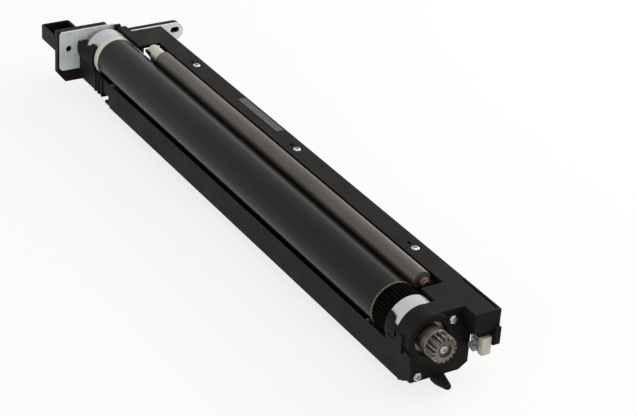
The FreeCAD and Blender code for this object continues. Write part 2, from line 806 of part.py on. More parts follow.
def make_main_frame():
    """Moulded trough: side wall, floor, rail wall, cross walls, auger channel, ledge and brackets."""
    body = new_body("main_frame")
    corner_up = d.frame_bottom + d.frame_corner
    corner_in = d.frame_right - d.frame_corner
    pad(body, "trough", "x", rear_wall_back, front_box_back,
        [(left_inside, d.frame_bottom), (corner_in, d.frame_bottom), (d.frame_right, corner_up),
         (d.frame_right, rail_underside), (wall_inside, rail_underside),
         (wall_inside, corner_up + d.frame_wall / 2), (corner_in - d.frame_wall / 2, floor_top),
         (left_inside, floor_top)])
    pad(body, "rear_floor", "x", side_wall_rear, rear_wall_back,
        box_loop(left_inside, d.frame_bottom, d.cradle_right, floor_top))
    # side wall with its stepped rear corner and raised lead-in nose
    rear = side_wall_rear
    front = d.side_wall_front
    pad(body, "side_wall", "y", d.frame_left, left_inside,
        [(rear, d.side_wall_top), (rear, d.side_step_low), (runner_rear, d.side_step_low),
         (runner_rear, d.frame_bottom), (front - d.side_nose_back * 3, d.frame_bottom),
         (front + d.side_nose_back, d.frame_bottom + d.side_nose_rise), (front, d.side_front_top),
         (boss_back + d.side_nose_rise, d.side_saddle_top), (boss_back + d.side_nose_rise, d.side_wall_top)])
    cut(body, "runner", "y", d.frame_left, d.frame_left + d.runner_inset,
        box_loop(runner_rear, d.frame_bottom, front - d.side_nose_back * 3, d.runner_top))
    # cross walls, brackets for the charge roller and the bank of the auger channel
    wall_top = charge_z - d.bush_radius - d.bracket_wall
    wall_loop = [(left_inside, floor_top), (wall_inside, floor_top), (wall_inside, wall_top),
                 (0, wall_top), (0, d.side_wall_top), (left_inside, d.side_wall_top)]
    pad(body, "front_wall", "x", chamber_back, chamber_front, wall_loop)
    pad(body, "rear_wall", "x", rear_wall_back, rear_wall_face,
        [(left_inside, floor_top), (wall_inside, floor_top), (wall_inside, d.rear_wall_top),
         (0, d.rear_wall_top), (0, d.side_wall_top), (left_inside, d.side_wall_top)])
    bracket_half = d.bush_radius + d.bracket_wall
    bracket_loop = [(charge_y - bracket_half, d.rear_wall_top), (wall_inside, d.rear_wall_top),
                    (wall_inside, d.rear_wall_top + d.bracket_arm),
                    (charge_y + bracket_half, lip_bottom - d.seat_gap),
                    (charge_y + bracket_half, d.bracket_top),
                    (charge_y - bracket_half, d.bracket_top)]
    pad(body, "front_bracket", "x", chamber_back, front_bush_end, bracket_loop)
    pad(body, "rear_bracket", "x", rear_wall_back, rear_bush_start, bracket_loop)
    pad(body, "bank", "x", rear_wall_face, chamber_back,
        box_loop(d.auger_bank_left, floor_top, wall_inside, auger_z))
    ledge_near = holder_start + d.ledge_setback
    ledge_far = holder_end + d.ledge_sunk
    pad(body, "ledge", "x", rear_wall_face, chamber_back,
        [blade_point(ledge_near, holder_low), blade_point(ledge_far, holder_low),
         blade_point(ledge_far, holder_low - d.frame_wall),
         blade_point(ledge_near, holder_low - d.frame_wall)])
    # columns for the rail screws
    first = -d.rail_screw_first
    column = pad(body, "column", "z", d.column_bottom, rail_underside,
                 Ring(first, d.rail_screw_across, d.column_radius))
    web = pad(body, "column_web", "z", d.column_bottom, rail_underside,
              box_loop(first - d.frame_wall / 2, d.rail_screw_across, first + d.frame_wall / 2,
                       wall_inside + d.frame_wall / 2))
    repeat_along(body, "columns", [column, web], "X_Axis", rail_screw_span, d.rail_screw_count, True)
    hole = cut(body, "column_hole", "z", rail_underside - d.screw_shank_length, rail_underside,
               Ring(first, d.rail_screw_across, d.screw_shank_radius))
    repeat_along(body, "column_holes", [hole], "X_Axis", rail_screw_span, d.rail_screw_count, True)
    # box in front of the gears
    box_right = d.plate_right
    plate_back = -d.plate_thickness
    pad(body, "front_box", "x", front_box_back, plate_back,
        [(left_inside, d.frame_bottom), (box_right - d.frame_corner, d.frame_bottom),
         (box_right, corner_up), (box_right, d.block_bottom), (box_right - d.frame_wall, d.block_bottom),
         (box_right - d.frame_wall, corner_up), (box_right - d.frame_corner - d.frame_wall, floor_top),
         (left_inside, floor_top)])
    pad(body, "front_wall_step", "x", front_box_back - d.frame_wall, front_box_back,
        [(box_right - d.frame_wall, floor_top), (wall_inside, floor_top), (wall_inside, d.block_bottom),
         (box_right - d.frame_wall, d.block_bottom)])
    pad(body, "low_post", "x", front_box_back, plate_back,
        Ring(d.low_screw_across, d.low_screw_height, d.screw_shank_radius + d.post_wall))
    cut(body, "low_post_hole", "x", -d.screw_shank_length, plate_back,
        Ring(d.low_screw_across, d.low_screw_height, d.screw_shank_radius))
    pad(body, "idler_pin", "x", chamber_front, gear_front + d.pin_proud,
        Ring(idler_y, idler_z, d.gear_pin_radius))
    # room for what turns
    cut(body, "drum_room", "x", rear_wall_back, front_bush_end, Ring(0, 0, felt_outer))
    cut(body, "boss_room", "x", front_box_back, d.side_wall_front + d.side_nose_back,
        Ring(0, 0, d.boss_radius + d.turn_gap))
    cut(body, "saddle_room", "x", boss_back - d.saddle_length, plate_back,
        box_loop(d.frame_left, d.side_wall_top, left_inside, 0))
    cut(body, "auger_channel", "x", rear_wall_face, chamber_back, Ring(auger_y, auger_z, channel_radius))
    cut(body, "auger_journals", "x", rear_wall_back, chamber_front,
        Ring(auger_y, auger_z, d.auger_core_radius + d.journal_gap))
    for name, start, end in (("front_bush_seat", chamber_back, front_bush_end),
                             ("rear_bush_seat", rear_wall_back, rear_bush_start)):
        cut(body, name, "x", start, end, Ring(charge_y, charge_z, d.bush_radius))


def make_rail_cover():
    """Flat rail with a lip along the charge roller, screw recesses and a hole beside each."""
    body = new_body("rail_cover")
    pad(body, "rail", "x", rail_rear, rail_front,
        [(d.rail_left, lip_bottom), (d.rail_left + d.rail_lip_wall, lip_bottom),
         (d.rail_left + d.rail_lip_wall, rail_underside), (d.frame_right, rail_underside),
         (d.frame_right, d.cover_top), (d.rail_left, d.cover_top)])
    first = -d.rail_screw_first
    recess_floor = d.cover_top - d.rail_recess_depth
    recess = cut(body, "recess", "z", recess_floor, d.cover_top,
                 Ring(first, d.rail_screw_across, d.rail_recess_radius))
    repeat_along(body, "recesses", [recess], "X_Axis", rail_screw_span, d.rail_screw_count, True)
    beside = first - d.rail_hole_offset
    holes = cut(body, "hole", "z", rail_underside, recess_floor,
                Ring(first, d.rail_screw_across, d.screw_shank_radius))
    repeat_along(body, "holes", [holes], "X_Axis", rail_screw_span, d.rail_screw_count, True)
    side_hole = cut(body, "side_hole", "z", rail_underside, d.cover_top,
                    box_loop(beside - d.side_hole_half, d.rail_screw_across - d.side_hole_half / 2,
                             beside + d.side_hole_half, d.rail_screw_across + d.side_hole_half / 2))
    repeat_along(body, "side_holes", [side_hole], "X_Axis", rail_screw_span, d.rail_screw_count, True)


def make_rail_screws():
    body = new_body("rail_screws")
    seat = d.cover_top - d.rail_recess_depth
    centres = [-d.rail_screw_first - rail_screw_span * share for share in (0, 0.5, 1)]
    heads = [Ring(x, d.rail_screw_across, d.screw_head_radius) for x in centres]
    shanks = [Ring(x, d.rail_screw_across, d.screw_shank_radius) for x in centres]
    slots = [Ring(x, d.rail_screw_across, d.driver_slot_radius) for x in centres]
    head_top = seat + d.screw_head_height
    pad(body, "shanks", "z", seat - d.screw_shank_length, seat, *shanks)
    pad(body, "heads", "z", seat, head_top, *heads)
    cut(body, "slots", "z", head_top - d.driver_slot_depth, head_top, *slots)


def make_label_plate():
    body = new_body("label_plate")
    pad(body, "label", "z", d.cover_top, d.cover_top + d.label_thickness,
        box_loop(label_rear, d.label_left, label_rear + d.label_length, d.label_left + d.label_width))


def make_charge_roller():
    body = new_body("charge_roller", charge_y, charge_z)
    spin(body, "rubber", [(charge_rear, d.charge_core_radius), (charge_rear, d.charge_radius),
                          (charge_front, d.charge_radius), (charge_front, d.charge_core_radius)])
    core = new_body("charge_roller_core", charge_y, charge_z)
    front_end = front_bush_end + d.journal_proud
    rear_end = rear_bush_end - d.journal_proud
    spin(core, "core", [(rear_end, 0), (rear_end, d.charge_journal_radius),
                        (charge_rear, d.charge_journal_radius), (charge_rear, d.charge_core_radius),
                        (charge_front, d.charge_core_radius), (charge_front, d.charge_journal_radius),
                        (front_end, d.charge_journal_radius), (front_end, 0)])


def make_bushes():
    """Bushes of the charge roller, each with its flange towards the roller."""
    bore = d.charge_journal_radius + d.journal_gap
    front = new_body("charge_bush_front", charge_y, charge_z)
    spin(front, "bush", [(chamber_back - d.bush_flange_length, bore),
                         (chamber_back - d.bush_flange_length, d.bush_flange_radius),
                         (chamber_back, d.bush_flange_radius), (chamber_back, d.bush_radius),
                         (front_bush_end, d.bush_radius), (front_bush_end, bore)])
    rear = new_body("charge_bush_rear", charge_y, charge_z)
    spin(rear, "bush", [(rear_bush_start + d.bush_flange_length, bore),
                        (rear_bush_start + d.bush_flange_length, d.bush_flange_radius),
                        (rear_bush_start, d.bush_flange_radius), (rear_bush_start, d.bush_radius),
                        (rear_bush_end, d.bush_radius), (rear_bush_end, bore)])


def make_cleaning():
    """Cleaning blade, its bent steel holder, its screws and the felts at the drum's ends."""
    blade = new_body("cleaning_blade", contact_y, contact_z, blade_angle)
    pad(blade, "strip", "x", blade_rear, blade_front,
        box_loop(0, -d.blade_thickness, d.blade_length, 0))
    holder = new_body("blade_holder", contact_y, contact_z, blade_angle)
    leg = holder_end - d.holder_thickness
    top = -d.blade_thickness
    pad(holder, "sheet", "x", blade_rear, blade_front,
        [(holder_start, holder_low), (holder_end, holder_low), (holder_end, top + d.holder_flange),
         (leg, top + d.holder_flange), (leg, top), (holder_start, top)])
    screws = new_body("blade_screws", contact_y, contact_z, blade_angle)
    middle = d.blade_length + d.blade_screw_setback
    span = blade_front - blade_rear
    places = [blade_rear + span * share for share in (0.1, 0.5, 0.9)]
    pad(screws, "heads", "z", top, top + d.screw_head_height,
        *[Ring(x, middle, d.screw_head_radius) for x in places])
    felts = new_body("drum_felts")
    inner = d.drum_radius + d.turn_gap
    for name, start in (("rear_felt", rear_wall_back), ("front_felt", chamber_back)):
        pad(felts, name, "x", start, start + d.frame_wall, Ring(0, 0, felt_outer), Ring(0, 0, inner))
    high = felt_outer + 1
    for name, start in (("rear_trim", rear_wall_back), ("front_trim", chamber_back)):
        cut(felts, name, "x", start, start + d.frame_wall,
            [(-high, d.side_wall_top), (0, d.side_wall_top), (high, -d.side_wall_top / 4), (high, high),
             (-high, high)])


def make_gears():
    idler = new_body("idler_gear", idler_y, idler_z, idler_phase)
    gear_teeth(idler, gear_back, gear_front, d.idler_teeth, d.gear_pin_radius + d.journal_gap)
    gear = new_body("auger_gear", auger_y, auger_z, auger_phase)
    gear_teeth(gear, gear_back, gear_front, d.auger_teeth, d.auger_core_radius)
    auger = new_body("waste_auger", auger_y, auger_z)
    end = rear_wall_back
    spin(auger, "rod", [(end, 0), (end, d.auger_core_radius), (gear_front, d.auger_core_radius),
                        (gear_front, 0)])


def make_rear_end_housing():
    """Moulded far end: ribbed bearing boss, back wall, cradle and the bar across the top."""
    body = new_body("rear_end_housing")
    face = rear_face
    wall_front = face + d.rear_wall_thickness
    boss_front = face + d.rear_boss_length
    underside = d.cover_top - d.cover_thickness
    pad(body, "back_wall", "x", face, wall_front,
        [(d.frame_left, d.side_wall_top), (d.frame_left, d.rear_wall_bottom + 4),
         (d.frame_left + 4, d.rear_wall_bottom), (d.rear_wall_right, d.rear_wall_bottom),
         (d.rear_wall_right, underside), (d.cross_left, underside), (0, 0)])
    spin(body, "boss", [(face, 0), (face, d.rear_boss_radius), (boss_front, d.rear_boss_radius),
                        (boss_front, 0)])
    rib_step = d.rear_boss_radius * math.pi / d.rib_count
    flute = cut(body, "flute", "x", wall_front, boss_front,
                box_loop(-(rib_step - d.rib_thickness) / 2, d.rear_boss_radius - d.rib_depth,
                         (rib_step - d.rib_thickness) / 2, d.rear_boss_radius + 1))
    repeat_round(body, "flutes", [flute], d.rib_count)
    groove(body, "bearing_seat", [(face, 0), (face, d.rear_lip_radius),
                                  (rear_bearing_face, d.rear_lip_radius),
                                  (rear_bearing_face, d.bearing_radius),
                                  (boss_front, d.bearing_radius), (boss_front, 0)])
    wall = d.cradle_wall
    bottom = d.rear_wall_bottom
    pad(body, "cradle", "x", wall_front, side_wall_rear,
        [(d.frame_left, d.side_wall_top), (d.frame_left, bottom), (d.cradle_right + wall, bottom),
         (d.cradle_right + wall, d.side_wall_top), (d.cradle_right, d.side_wall_top),
         (d.cradle_right, bottom + wall), (left_inside, bottom + wall), (left_inside, d.side_wall_top)])
    ribs = pad(body, "side_rib", "x", side_wall_rear - d.rib_thickness, side_wall_rear,
               box_loop(d.frame_left - d.rib_depth, bottom, d.frame_left, d.side_wall_top))
    repeat_along(body, "side_ribs", [ribs], "X_Axis", d.rib_thickness * 7, as_size(3), True)
    pad(body, "cross_bar", "z", underside, d.cover_top,
        [(cross_front, d.cross_left), (cross_front, d.frame_right),
         (cross_rear, d.frame_right), (cross_rear, d.cross_left + d.cross_arm),
         (face, d.cross_left + d.cross_arm), (face, d.cross_left)])
    for name, across, height in (("post", d.rear_screw_across, d.rear_screw_height),
                                 ("low_post", d.rear_low_screw_across, d.rear_low_screw_height)):
        pad(body, name, "x", wall_front, wall_front + d.rear_post_length,
            Ring(across, height, d.screw_shank_radius + d.post_wall))
        cut(body, name + "_hole", "x", face, wall_front + d.rear_post_length / 2,
            Ring(across, height, d.screw_shank_radius))


def make_locating_plate():
    """Bright steel plate with a round hole at one end and a slotted arm at the other."""
    body = new_body("locating_plate")
    back = rear_face - d.locating_thickness
    front = rear_face
    pad(body, "left", "x", back, front,
        box_loop(d.locating_left, d.locating_bottom, d.locating_right, d.locating_top))
    round_edges(body, "corners", d.locating_round, lambda edge: runs_along(edge, "x"))
    pad(body, "arm", "x", back, front, box_loop(0, -d.arm_radius, d.arm_end, d.arm_radius))
    pad(body, "arm_end", "x", back, front, Ring(d.arm_end, 0, d.arm_radius))
    half = d.slot_length / 2 - d.slot_radius
    cut(body, "holes", "x", back, front, Ring(d.hole_across, 0, d.hole_radius),
        Ring(d.rear_screw_across, d.rear_screw_height, d.screw_shank_radius))
    cut(body, "slot_near", "x", back, front, Ring(d.slot_across - half, 0, d.slot_radius))
    cut(body, "slot_far", "x", back, front, Ring(d.slot_across + half, 0, d.slot_radius))
    cut(body, "slot_middle", "x", back, front,
        box_loop(d.slot_across - half, -d.slot_radius, d.slot_across + half, d.slot_radius))


def make_rear_handle():
    """Moulded cover behind the plate, open at the back, with the grip the unit is pulled out by."""
    body = new_body("rear_handle")
    front = rear_face - d.locating_thickness
    back = front - d.handle_back
    lower = d.handle_bottom + d.handle_chamfer
    pad(body, "shell", "x", back, front,
        [(d.handle_left, d.cover_top), (d.handle_left, lower),
         (d.handle_left + d.handle_chamfer, d.handle_bottom), (d.rear_wall_right, d.handle_bottom),
         (d.rear_wall_right, d.cover_top)])
    arm_front = front - d.handle_wall
    pad(body, "arm", "x", arm_front, front,
        box_loop(d.rear_wall_right, -d.arm_radius, d.handle_arm_right, d.handle_arm_top))
    wall = d.handle_wall
    cut(body, "hollow", "x", back, front - wall,
        [(d.grip_right + wall, d.cover_top - wall), (d.grip_right + wall, d.handle_bottom + wall),
         (d.rear_wall_right - wall, d.handle_bottom + wall),
         (d.rear_wall_right - wall, d.cover_top - wall)])
    pad(body, "grip", "x", back - d.grip_length, back,
        box_loop(d.grip_left, d.grip_bottom, d.grip_right, d.grip_top))
    round_edges(body, "grip_round", d.grip_round,
                lambda edge: runs_along(edge, "y") and near(edge.BoundBox.XMin, back - d.grip_length))
    cut(body, "grip_hollow", "z", d.grip_bottom + wall, d.grip_top,
        box_loop(back - d.grip_length + wall, d.grip_left + wall, back - wall, d.grip_right - wall))
    for name, across, height in (("screw_hole", d.rear_screw_across, d.rear_screw_height),
                                 ("low_screw_hole", d.rear_low_screw_across, d.rear_low_screw_height)):
        cut(body, name, "x", front - wall, front, Ring(across, height, d.screw_shank_radius))


def make_rear_screws():
    body = new_body("rear_screws")
    seat = rear_face - d.locating_thickness - d.handle_wall
    places = [(d.rear_screw_across, d.rear_screw_height), (d.rear_low_screw_across, d.rear_low_screw_height)]
    pad(body, "shanks", "x", seat, seat + d.screw_shank_length,
        *[Ring(y, z, d.screw_shank_radius) for y, z in places])
    pad(body, "heads", "x", seat - d.screw_head_height, seat,
        *[Ring(y, z, d.screw_head_radius) for y, z in places])


def make_connector():
    """Plug that meets the machine's socket: clear body, pale face, contacts and latch."""
    left = d.plug_left
    right = left + d.plug_width
    top = d.block_bottom + d.plug_seat_depth
    shell = new_body("connector_shell")
    pad(shell, "body", "x", d.plug_rear, d.plug_front, box_loop(left, d.plug_bottom, right, top))
    room = d.face_thickness
    cut(shell, "inside", "x", d.plug_rear + room, d.plug_front,
        box_loop(left + d.plug_wall, d.plug_bottom + d.plug_wall, right - d.plug_wall, d.block_bottom))
    face = new_body("connector_face")
    over = d.face_over
    pad(face, "face", "x", d.plug_front, d.plug_front + d.face_thickness,
        box_loop(left - over, d.plug_bottom - over, right + over, d.block_bottom - d.seat_gap))
    contacts = new_body("connector_contacts")
    first = d.plug_bottom + d.plug_wall * 3
    blade = pad(contacts, "contact", "x", d.plug_rear + room, d.plug_front,
                box_loop(left + d.plug_wall * 2, first, right - d.plug_wall * 2, first + d.contact_width))
    span = d.contact_pitch * (d.contact_count - 1)
    repeat_along(contacts, "contacts", [blade], "Z_Axis", span, d.contact_count)
    clip = new_body("connector_latch")
    pad(clip, "latch", "z", d.plug_bottom, d.plug_bottom + d.clip_height,
        [(d.plug_rear, left), (d.plug_rear, left - d.clip_width / 2),
         (d.plug_rear + d.clip_length, left - d.clip_width), (d.plug_rear + d.clip_length, left)])


def check_model():
    """Stop with a plain message if any object failed, or a cut removed nothing."""
    for item in doc.Objects:
        bad = [word for word in item.State if word in ("Invalid", "Error")]
        if bad:
            raise RuntimeError(f"{item.Name} is {bad[0]}")
    for body in NODES:
        if body.Shape.isNull() or not body.Shape.isValid() or not body.Shape.Solids:
            raise RuntimeError(f"{body.Label} has no valid solid")
    for feature in CUTS:
        base = feature.BaseFeature
        if base.Shape.Volume - feature.Shape.Volume < 0.001:
            raise RuntimeError(f"{feature.Name} cuts nothing")


make_drum_tube()
make_drive_flange()
make_drive_sleeve()
make_rear_flange()
make_drum_shaft()
make_drive_pinion()
make_end_screws()
make_bearing("front_bearing", front_bearing_face)
make_bearing("rear_bearing", rear_bearing_face + d.bearing_width)
make_front_bearing_holder()
make_drive_end_cover()
make_main_frame()
make_rail_cover()
make_rail_screws()
make_label_plate()
make_charge_roller()
make_bushes()
make_cleaning()
make_gears()
make_rear_end_housing()
make_locating_plate()
make_rear_handle()
make_rear_screws()
make_connector()

doc.recompute()
check_model()
os.makedirs("parts", exist_ok=True)
for body in NODES:
    body.Shape.exportStep(f"parts/{body.Label}.step")
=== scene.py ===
import json
import math

import bmesh
import bpy
from mathutils import Matrix, Vector


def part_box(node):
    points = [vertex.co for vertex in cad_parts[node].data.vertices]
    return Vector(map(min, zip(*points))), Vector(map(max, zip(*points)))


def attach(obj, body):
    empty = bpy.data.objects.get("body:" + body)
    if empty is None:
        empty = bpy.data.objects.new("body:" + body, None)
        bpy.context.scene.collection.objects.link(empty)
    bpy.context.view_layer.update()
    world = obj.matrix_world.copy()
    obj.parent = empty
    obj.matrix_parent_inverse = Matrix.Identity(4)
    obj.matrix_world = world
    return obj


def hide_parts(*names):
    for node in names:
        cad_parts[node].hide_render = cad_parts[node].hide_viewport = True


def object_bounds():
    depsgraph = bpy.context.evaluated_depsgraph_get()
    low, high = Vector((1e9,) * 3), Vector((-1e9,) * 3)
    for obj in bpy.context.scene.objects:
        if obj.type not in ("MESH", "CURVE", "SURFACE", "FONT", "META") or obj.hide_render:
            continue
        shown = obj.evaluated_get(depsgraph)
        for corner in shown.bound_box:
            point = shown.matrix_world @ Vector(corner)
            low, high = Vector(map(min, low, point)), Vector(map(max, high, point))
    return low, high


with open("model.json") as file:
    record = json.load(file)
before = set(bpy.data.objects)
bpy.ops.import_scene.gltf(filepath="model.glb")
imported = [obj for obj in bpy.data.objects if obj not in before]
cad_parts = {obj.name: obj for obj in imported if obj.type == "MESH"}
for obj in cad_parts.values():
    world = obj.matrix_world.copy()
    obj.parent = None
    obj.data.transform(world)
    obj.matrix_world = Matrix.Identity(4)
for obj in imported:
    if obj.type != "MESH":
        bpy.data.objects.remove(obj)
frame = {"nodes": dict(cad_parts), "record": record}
cad_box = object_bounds()
nodes = frame["nodes"]

MM = 0.001

# Camera, in metres: found by fitting the drum, the plates and the rail to the photograph
CAMERA_PLACE = Vector((0.70888, -0.53377, 0.56590))
CAMERA_RIGHT = Vector((0.51196, 0.85692, 0.05992))
CAMERA_UP = Vector((-0.44363, 0.20402, 0.87268))
CAMERA_BACK = Vector((0.73559, -0.47336, 0.48461))
CAMERA_LENS = 108.57
SENSOR_WIDTH = 36.0
NEAREST = 0.05
FARTHEST = 20.0


def make_camera():
    data = bpy.data.cameras.new("camera")
    data.lens = CAMERA_LENS
    data.sensor_fit = "HORIZONTAL"
    data.sensor_width = SENSOR_WIDTH
    data.clip_start = NEAREST
    data.clip_end = FARTHEST
    camera = bpy.data.objects.new("camera", data)
    bpy.context.scene.collection.objects.link(camera)
    turn = Matrix((CAMERA_RIGHT, CAMERA_UP, CAMERA_BACK)).transposed()
    camera.matrix_world = Matrix.Translation(CAMERA_PLACE) @ turn.to_4x4()
    bpy.context.scene.camera = camera


# Studio, in metres: pale floor, white surroundings and plain soft lamps
WHITE = (1.0, 1.0, 1.0, 1.0)
WORLD_STRENGTH = 0.3
FLOOR_SIZE = 6.0
FLOOR_MIDDLE = -0.2
FLOOR_GAP = 0.0002
FLOOR_COLOUR = (0.86, 0.86, 0.86, 1.0)
FLOOR_GLOW = 0.8
LAMP_TARGET = Vector((-0.2, 0.0, 0.0))
PLAIN = (1.0, 1.0, 1.0)
WARM = (1.0, 0.95, 0.86)


def seen_rays(tree):
    """One for the rays that show the background: from the camera, a reflection or through glass."""
    path = tree.nodes.new("ShaderNodeLightPath")
    total = path.outputs["Is Camera Ray"]
    for name in ("Is Glossy Ray", "Is Transmission Ray"):
        either = tree.nodes.new("ShaderNodeMath")
        either.operation = "MAXIMUM"
        tree.links.new(total, either.inputs[0])
        tree.links.new(path.outputs[name], either.inputs[1])
        total = either.outputs[0]
    return total


def show_mixed(tree, factor, plain, seen, output):
    """Mix the shader that lights the object with the one that is seen, and show the result."""
    mix = tree.nodes.new("ShaderNodeMixShader")
    out = tree.nodes.new(output)
    tree.links.new(factor, mix.inputs[0])
    tree.links.new(plain.outputs[0], mix.inputs[1])
    tree.links.new(seen.outputs[0], mix.inputs[2])
    tree.links.new(mix.outputs[0], out.inputs["Surface"])


def make_world():
    world = bpy.data.worlds.new("studio")
    bpy.context.scene.world = world
    world.use_nodes = True
    tree = world.node_tree
    tree.nodes.clear()
    soft = tree.nodes.new("ShaderNodeBackground")
    seen = tree.nodes.new("ShaderNodeBackground")
    for light, strength in ((soft, WORLD_STRENGTH), (seen, 1.0)):
        light.inputs["Color"].default_value = WHITE
        light.inputs["Strength"].default_value = strength
    show_mixed(tree, seen_rays(tree), soft, seen, "ShaderNodeOutputWorld")


def floor_paint():
    """Pale matt paint that shows almost white where it is seen."""
    material = bpy.data.materials.new("floor")
    material.use_nodes = True
    tree = material.node_tree
    tree.nodes.clear()
    paint = tree.nodes.new("ShaderNodeBsdfDiffuse")
    paint.inputs["Color"].default_value = FLOOR_COLOUR
    glow = tree.nodes.new("ShaderNodeEmission")
    glow.inputs["Color"].default_value = WHITE
    glow.inputs["Strength"].default_value = 1.0
    share = tree.nodes.new("ShaderNodeMath")
    share.operation = "MULTIPLY"
    share.inputs[1].default_value = FLOOR_GLOW
    tree.links.new(seen_rays(tree), share.inputs[0])
    show_mixed(tree, share.outputs[0], paint, glow, "ShaderNodeOutputMaterial")
    return material


def make_floor():
    """A square under the object, a hair below its lowest point."""
    lowest = cad_box[0][2]
    shape = bmesh.new()
    bmesh.ops.create_grid(shape, x_segments=1, y_segments=1, size=FLOOR_SIZE / 2)
    bmesh.ops.translate(shape, verts=shape.verts, vec=(FLOOR_MIDDLE, 0.0, lowest - FLOOR_GAP))
    data = bpy.data.meshes.new("floor")
    shape.to_mesh(data)
    shape.free()
    data.materials.append(floor_paint())
    floor = bpy.data.objects.new("floor", data)
    bpy.context.scene.collection.objects.link(floor)


def make_lamp(name, place, size, power, colour=PLAIN):
    """A soft rectangular lamp, aimed at the middle of the object."""
    data = bpy.data.lights.new(name, "AREA")
    data.shape = "RECTANGLE"
    data.size = size[0]
    data.size_y = size[1]
    data.energy = power
    data.color = colour
    lamp = bpy.data.objects.new(name, data)
    bpy.context.scene.collection.objects.link(lamp)
    aim = (LAMP_TARGET - Vector(place)).to_track_quat("-Z", "Y")
    lamp.matrix_world = Matrix.Translation(Vector(place)) @ aim.to_matrix().to_4x4()


def make_lamps():
    make_lamp("top_soft", place=(-0.1, 0.2, 1.1), size=(1.4, 1.0), power=6.0)
    make_lamp("rail_soft", place=(-0.2, 1.2, 0.6), size=(1.4, 0.7), power=16.0, colour=WARM)
    make_lamp("left_soft", place=(0.1, -1.2, 0.2), size=(1.4, 0.36), power=7.5)
    make_lamp("front_soft", place=(1.2, 0.1, 0.5), size=(0.8, 0.6), power=1.0)


# Finishes. An edge is read from how far the rounded normal turns from the flat one.
BEVEL_SAMPLES = 6
NOISE_ROUGHNESS = 0.55
EDGE_START = 0.995
EDGE_FULL = 0.8


class Finish:
    """A node material built step by step round one principled shader."""

    def __init__(self, name, colour, roughness, metallic=0.0, specular=0.5):
        self.material = bpy.data.materials.new(name)
        self.material.use_nodes = True
        self.tree = self.material.node_tree
        self.shader = self.tree.nodes["Principled BSDF"]
        self.shader.inputs["Base Color"].default_value = (*colour, 1.0)
        self.shader.inputs["Roughness"].default_value = roughness
        self.shader.inputs["Metallic"].default_value = metallic
        self.shader.inputs["Specular IOR Level"].default_value = specular
        self.coordinates = self.node("ShaderNodeTexCoord").outputs["Object"]
        self.normal = None

    def node(self, kind, **inputs):
        made = self.tree.nodes.new(kind)
        for name, value in inputs.items():
            made.inputs[name].default_value = value
        return made

    def link(self, start, end):
        self.tree.links.new(start, end)

    def noise(self, scale, detail, stretch=(1.0, 1.0, 1.0)):
        """Noise in object space, with a scale per metre."""
        mapping = self.node("ShaderNodeMapping", Scale=stretch)
        made = self.node("ShaderNodeTexNoise", Scale=scale, Detail=detail, Roughness=NOISE_ROUGHNESS)
        self.link(self.coordinates, mapping.inputs["Vector"])
        self.link(mapping.outputs["Vector"], made.inputs["Vector"])
        return made.outputs["Fac"]

    def along(self):
        """Place along the drum's axis, in metres."""
        split = self.node("ShaderNodeSeparateXYZ")
        self.link(self.coordinates, split.inputs["Vector"])
        return split.outputs["X"]

    def ramp(self, factor, stops):
        """Colour ramp over a factor; stops are (place, colour)."""
        made = self.node("ShaderNodeValToRGB")
        for element, (place, colour) in zip(made.color_ramp.elements, stops):
            element.position = place
            element.color = (*colour, 1.0)
        self.link(factor, made.inputs["Fac"])
        return made.outputs["Color"]

    def scale_range(self, factor, low=0.3, high=0.7, start=0.0, end=1.0):
        """Map a factor from low..high to start..end."""
        made = self.node("ShaderNodeMapRange")
        made.inputs["From Min"].default_value = low
        made.inputs["From Max"].default_value = high
        made.inputs["To Min"].default_value = start
        made.inputs["To Max"].default_value = end
        self.link(factor, made.inputs["Value"])
        return made.outputs["Result"]

    def mix(self, factor, first, second):
        """Mix two colours; either may be a socket or an (r, g, b) colour."""
        made = self.node("ShaderNodeMix")
        made.data_type = "RGBA"
        sockets = [socket for socket in made.inputs if socket.type == "RGBA"]
        for socket, value in zip(sockets, (first, second)):
            if isinstance(value, tuple):
                socket.default_value = (*value, 1.0)
            else:
                self.link(value, socket)
        self.link(factor, made.inputs["Factor"])
        return next(socket for socket in made.outputs if socket.type == "RGBA")

    def rounded_normal(self, width):
        bevel = self.node("ShaderNodeBevel", Radius=width)
        bevel.samples = BEVEL_SAMPLES
        return bevel.outputs["Normal"]

    def edges(self, width):
        """How far a point is on a sharp edge, from the rounded normal."""
        geometry = self.node("ShaderNodeNewGeometry")
        dot = self.node("ShaderNodeVectorMath")
        dot.operation = "DOT_PRODUCT"
        self.link(self.rounded_normal(width), dot.inputs[0])
        self.link(geometry.outputs["Normal"], dot.inputs[1])
        return self.scale_range(dot.outputs["Value"], low=EDGE_START, high=EDGE_FULL)

    def soften(self, width):
        """Round the sharp edges in the normal."""
        self.normal = self.rounded_normal(width)
        self.link(self.normal, self.shader.inputs["Normal"])

    def bump(self, factor, depth, strength):
        """Add a height to the normal."""
        made = self.node("ShaderNodeBump", Strength=strength, Distance=depth)
        self.link(factor, made.inputs["Height"])
        if self.normal is not None:
            self.link(self.normal, made.inputs["Normal"])
        self.normal = made.outputs["Normal"]
        self.link(self.normal, self.shader.inputs["Normal"])

    def colour(self, socket):
        self.link(socket, self.shader.inputs["Base Color"])

    def roughness(self, socket):
        self.link(socket, self.shader.inputs["Roughness"])


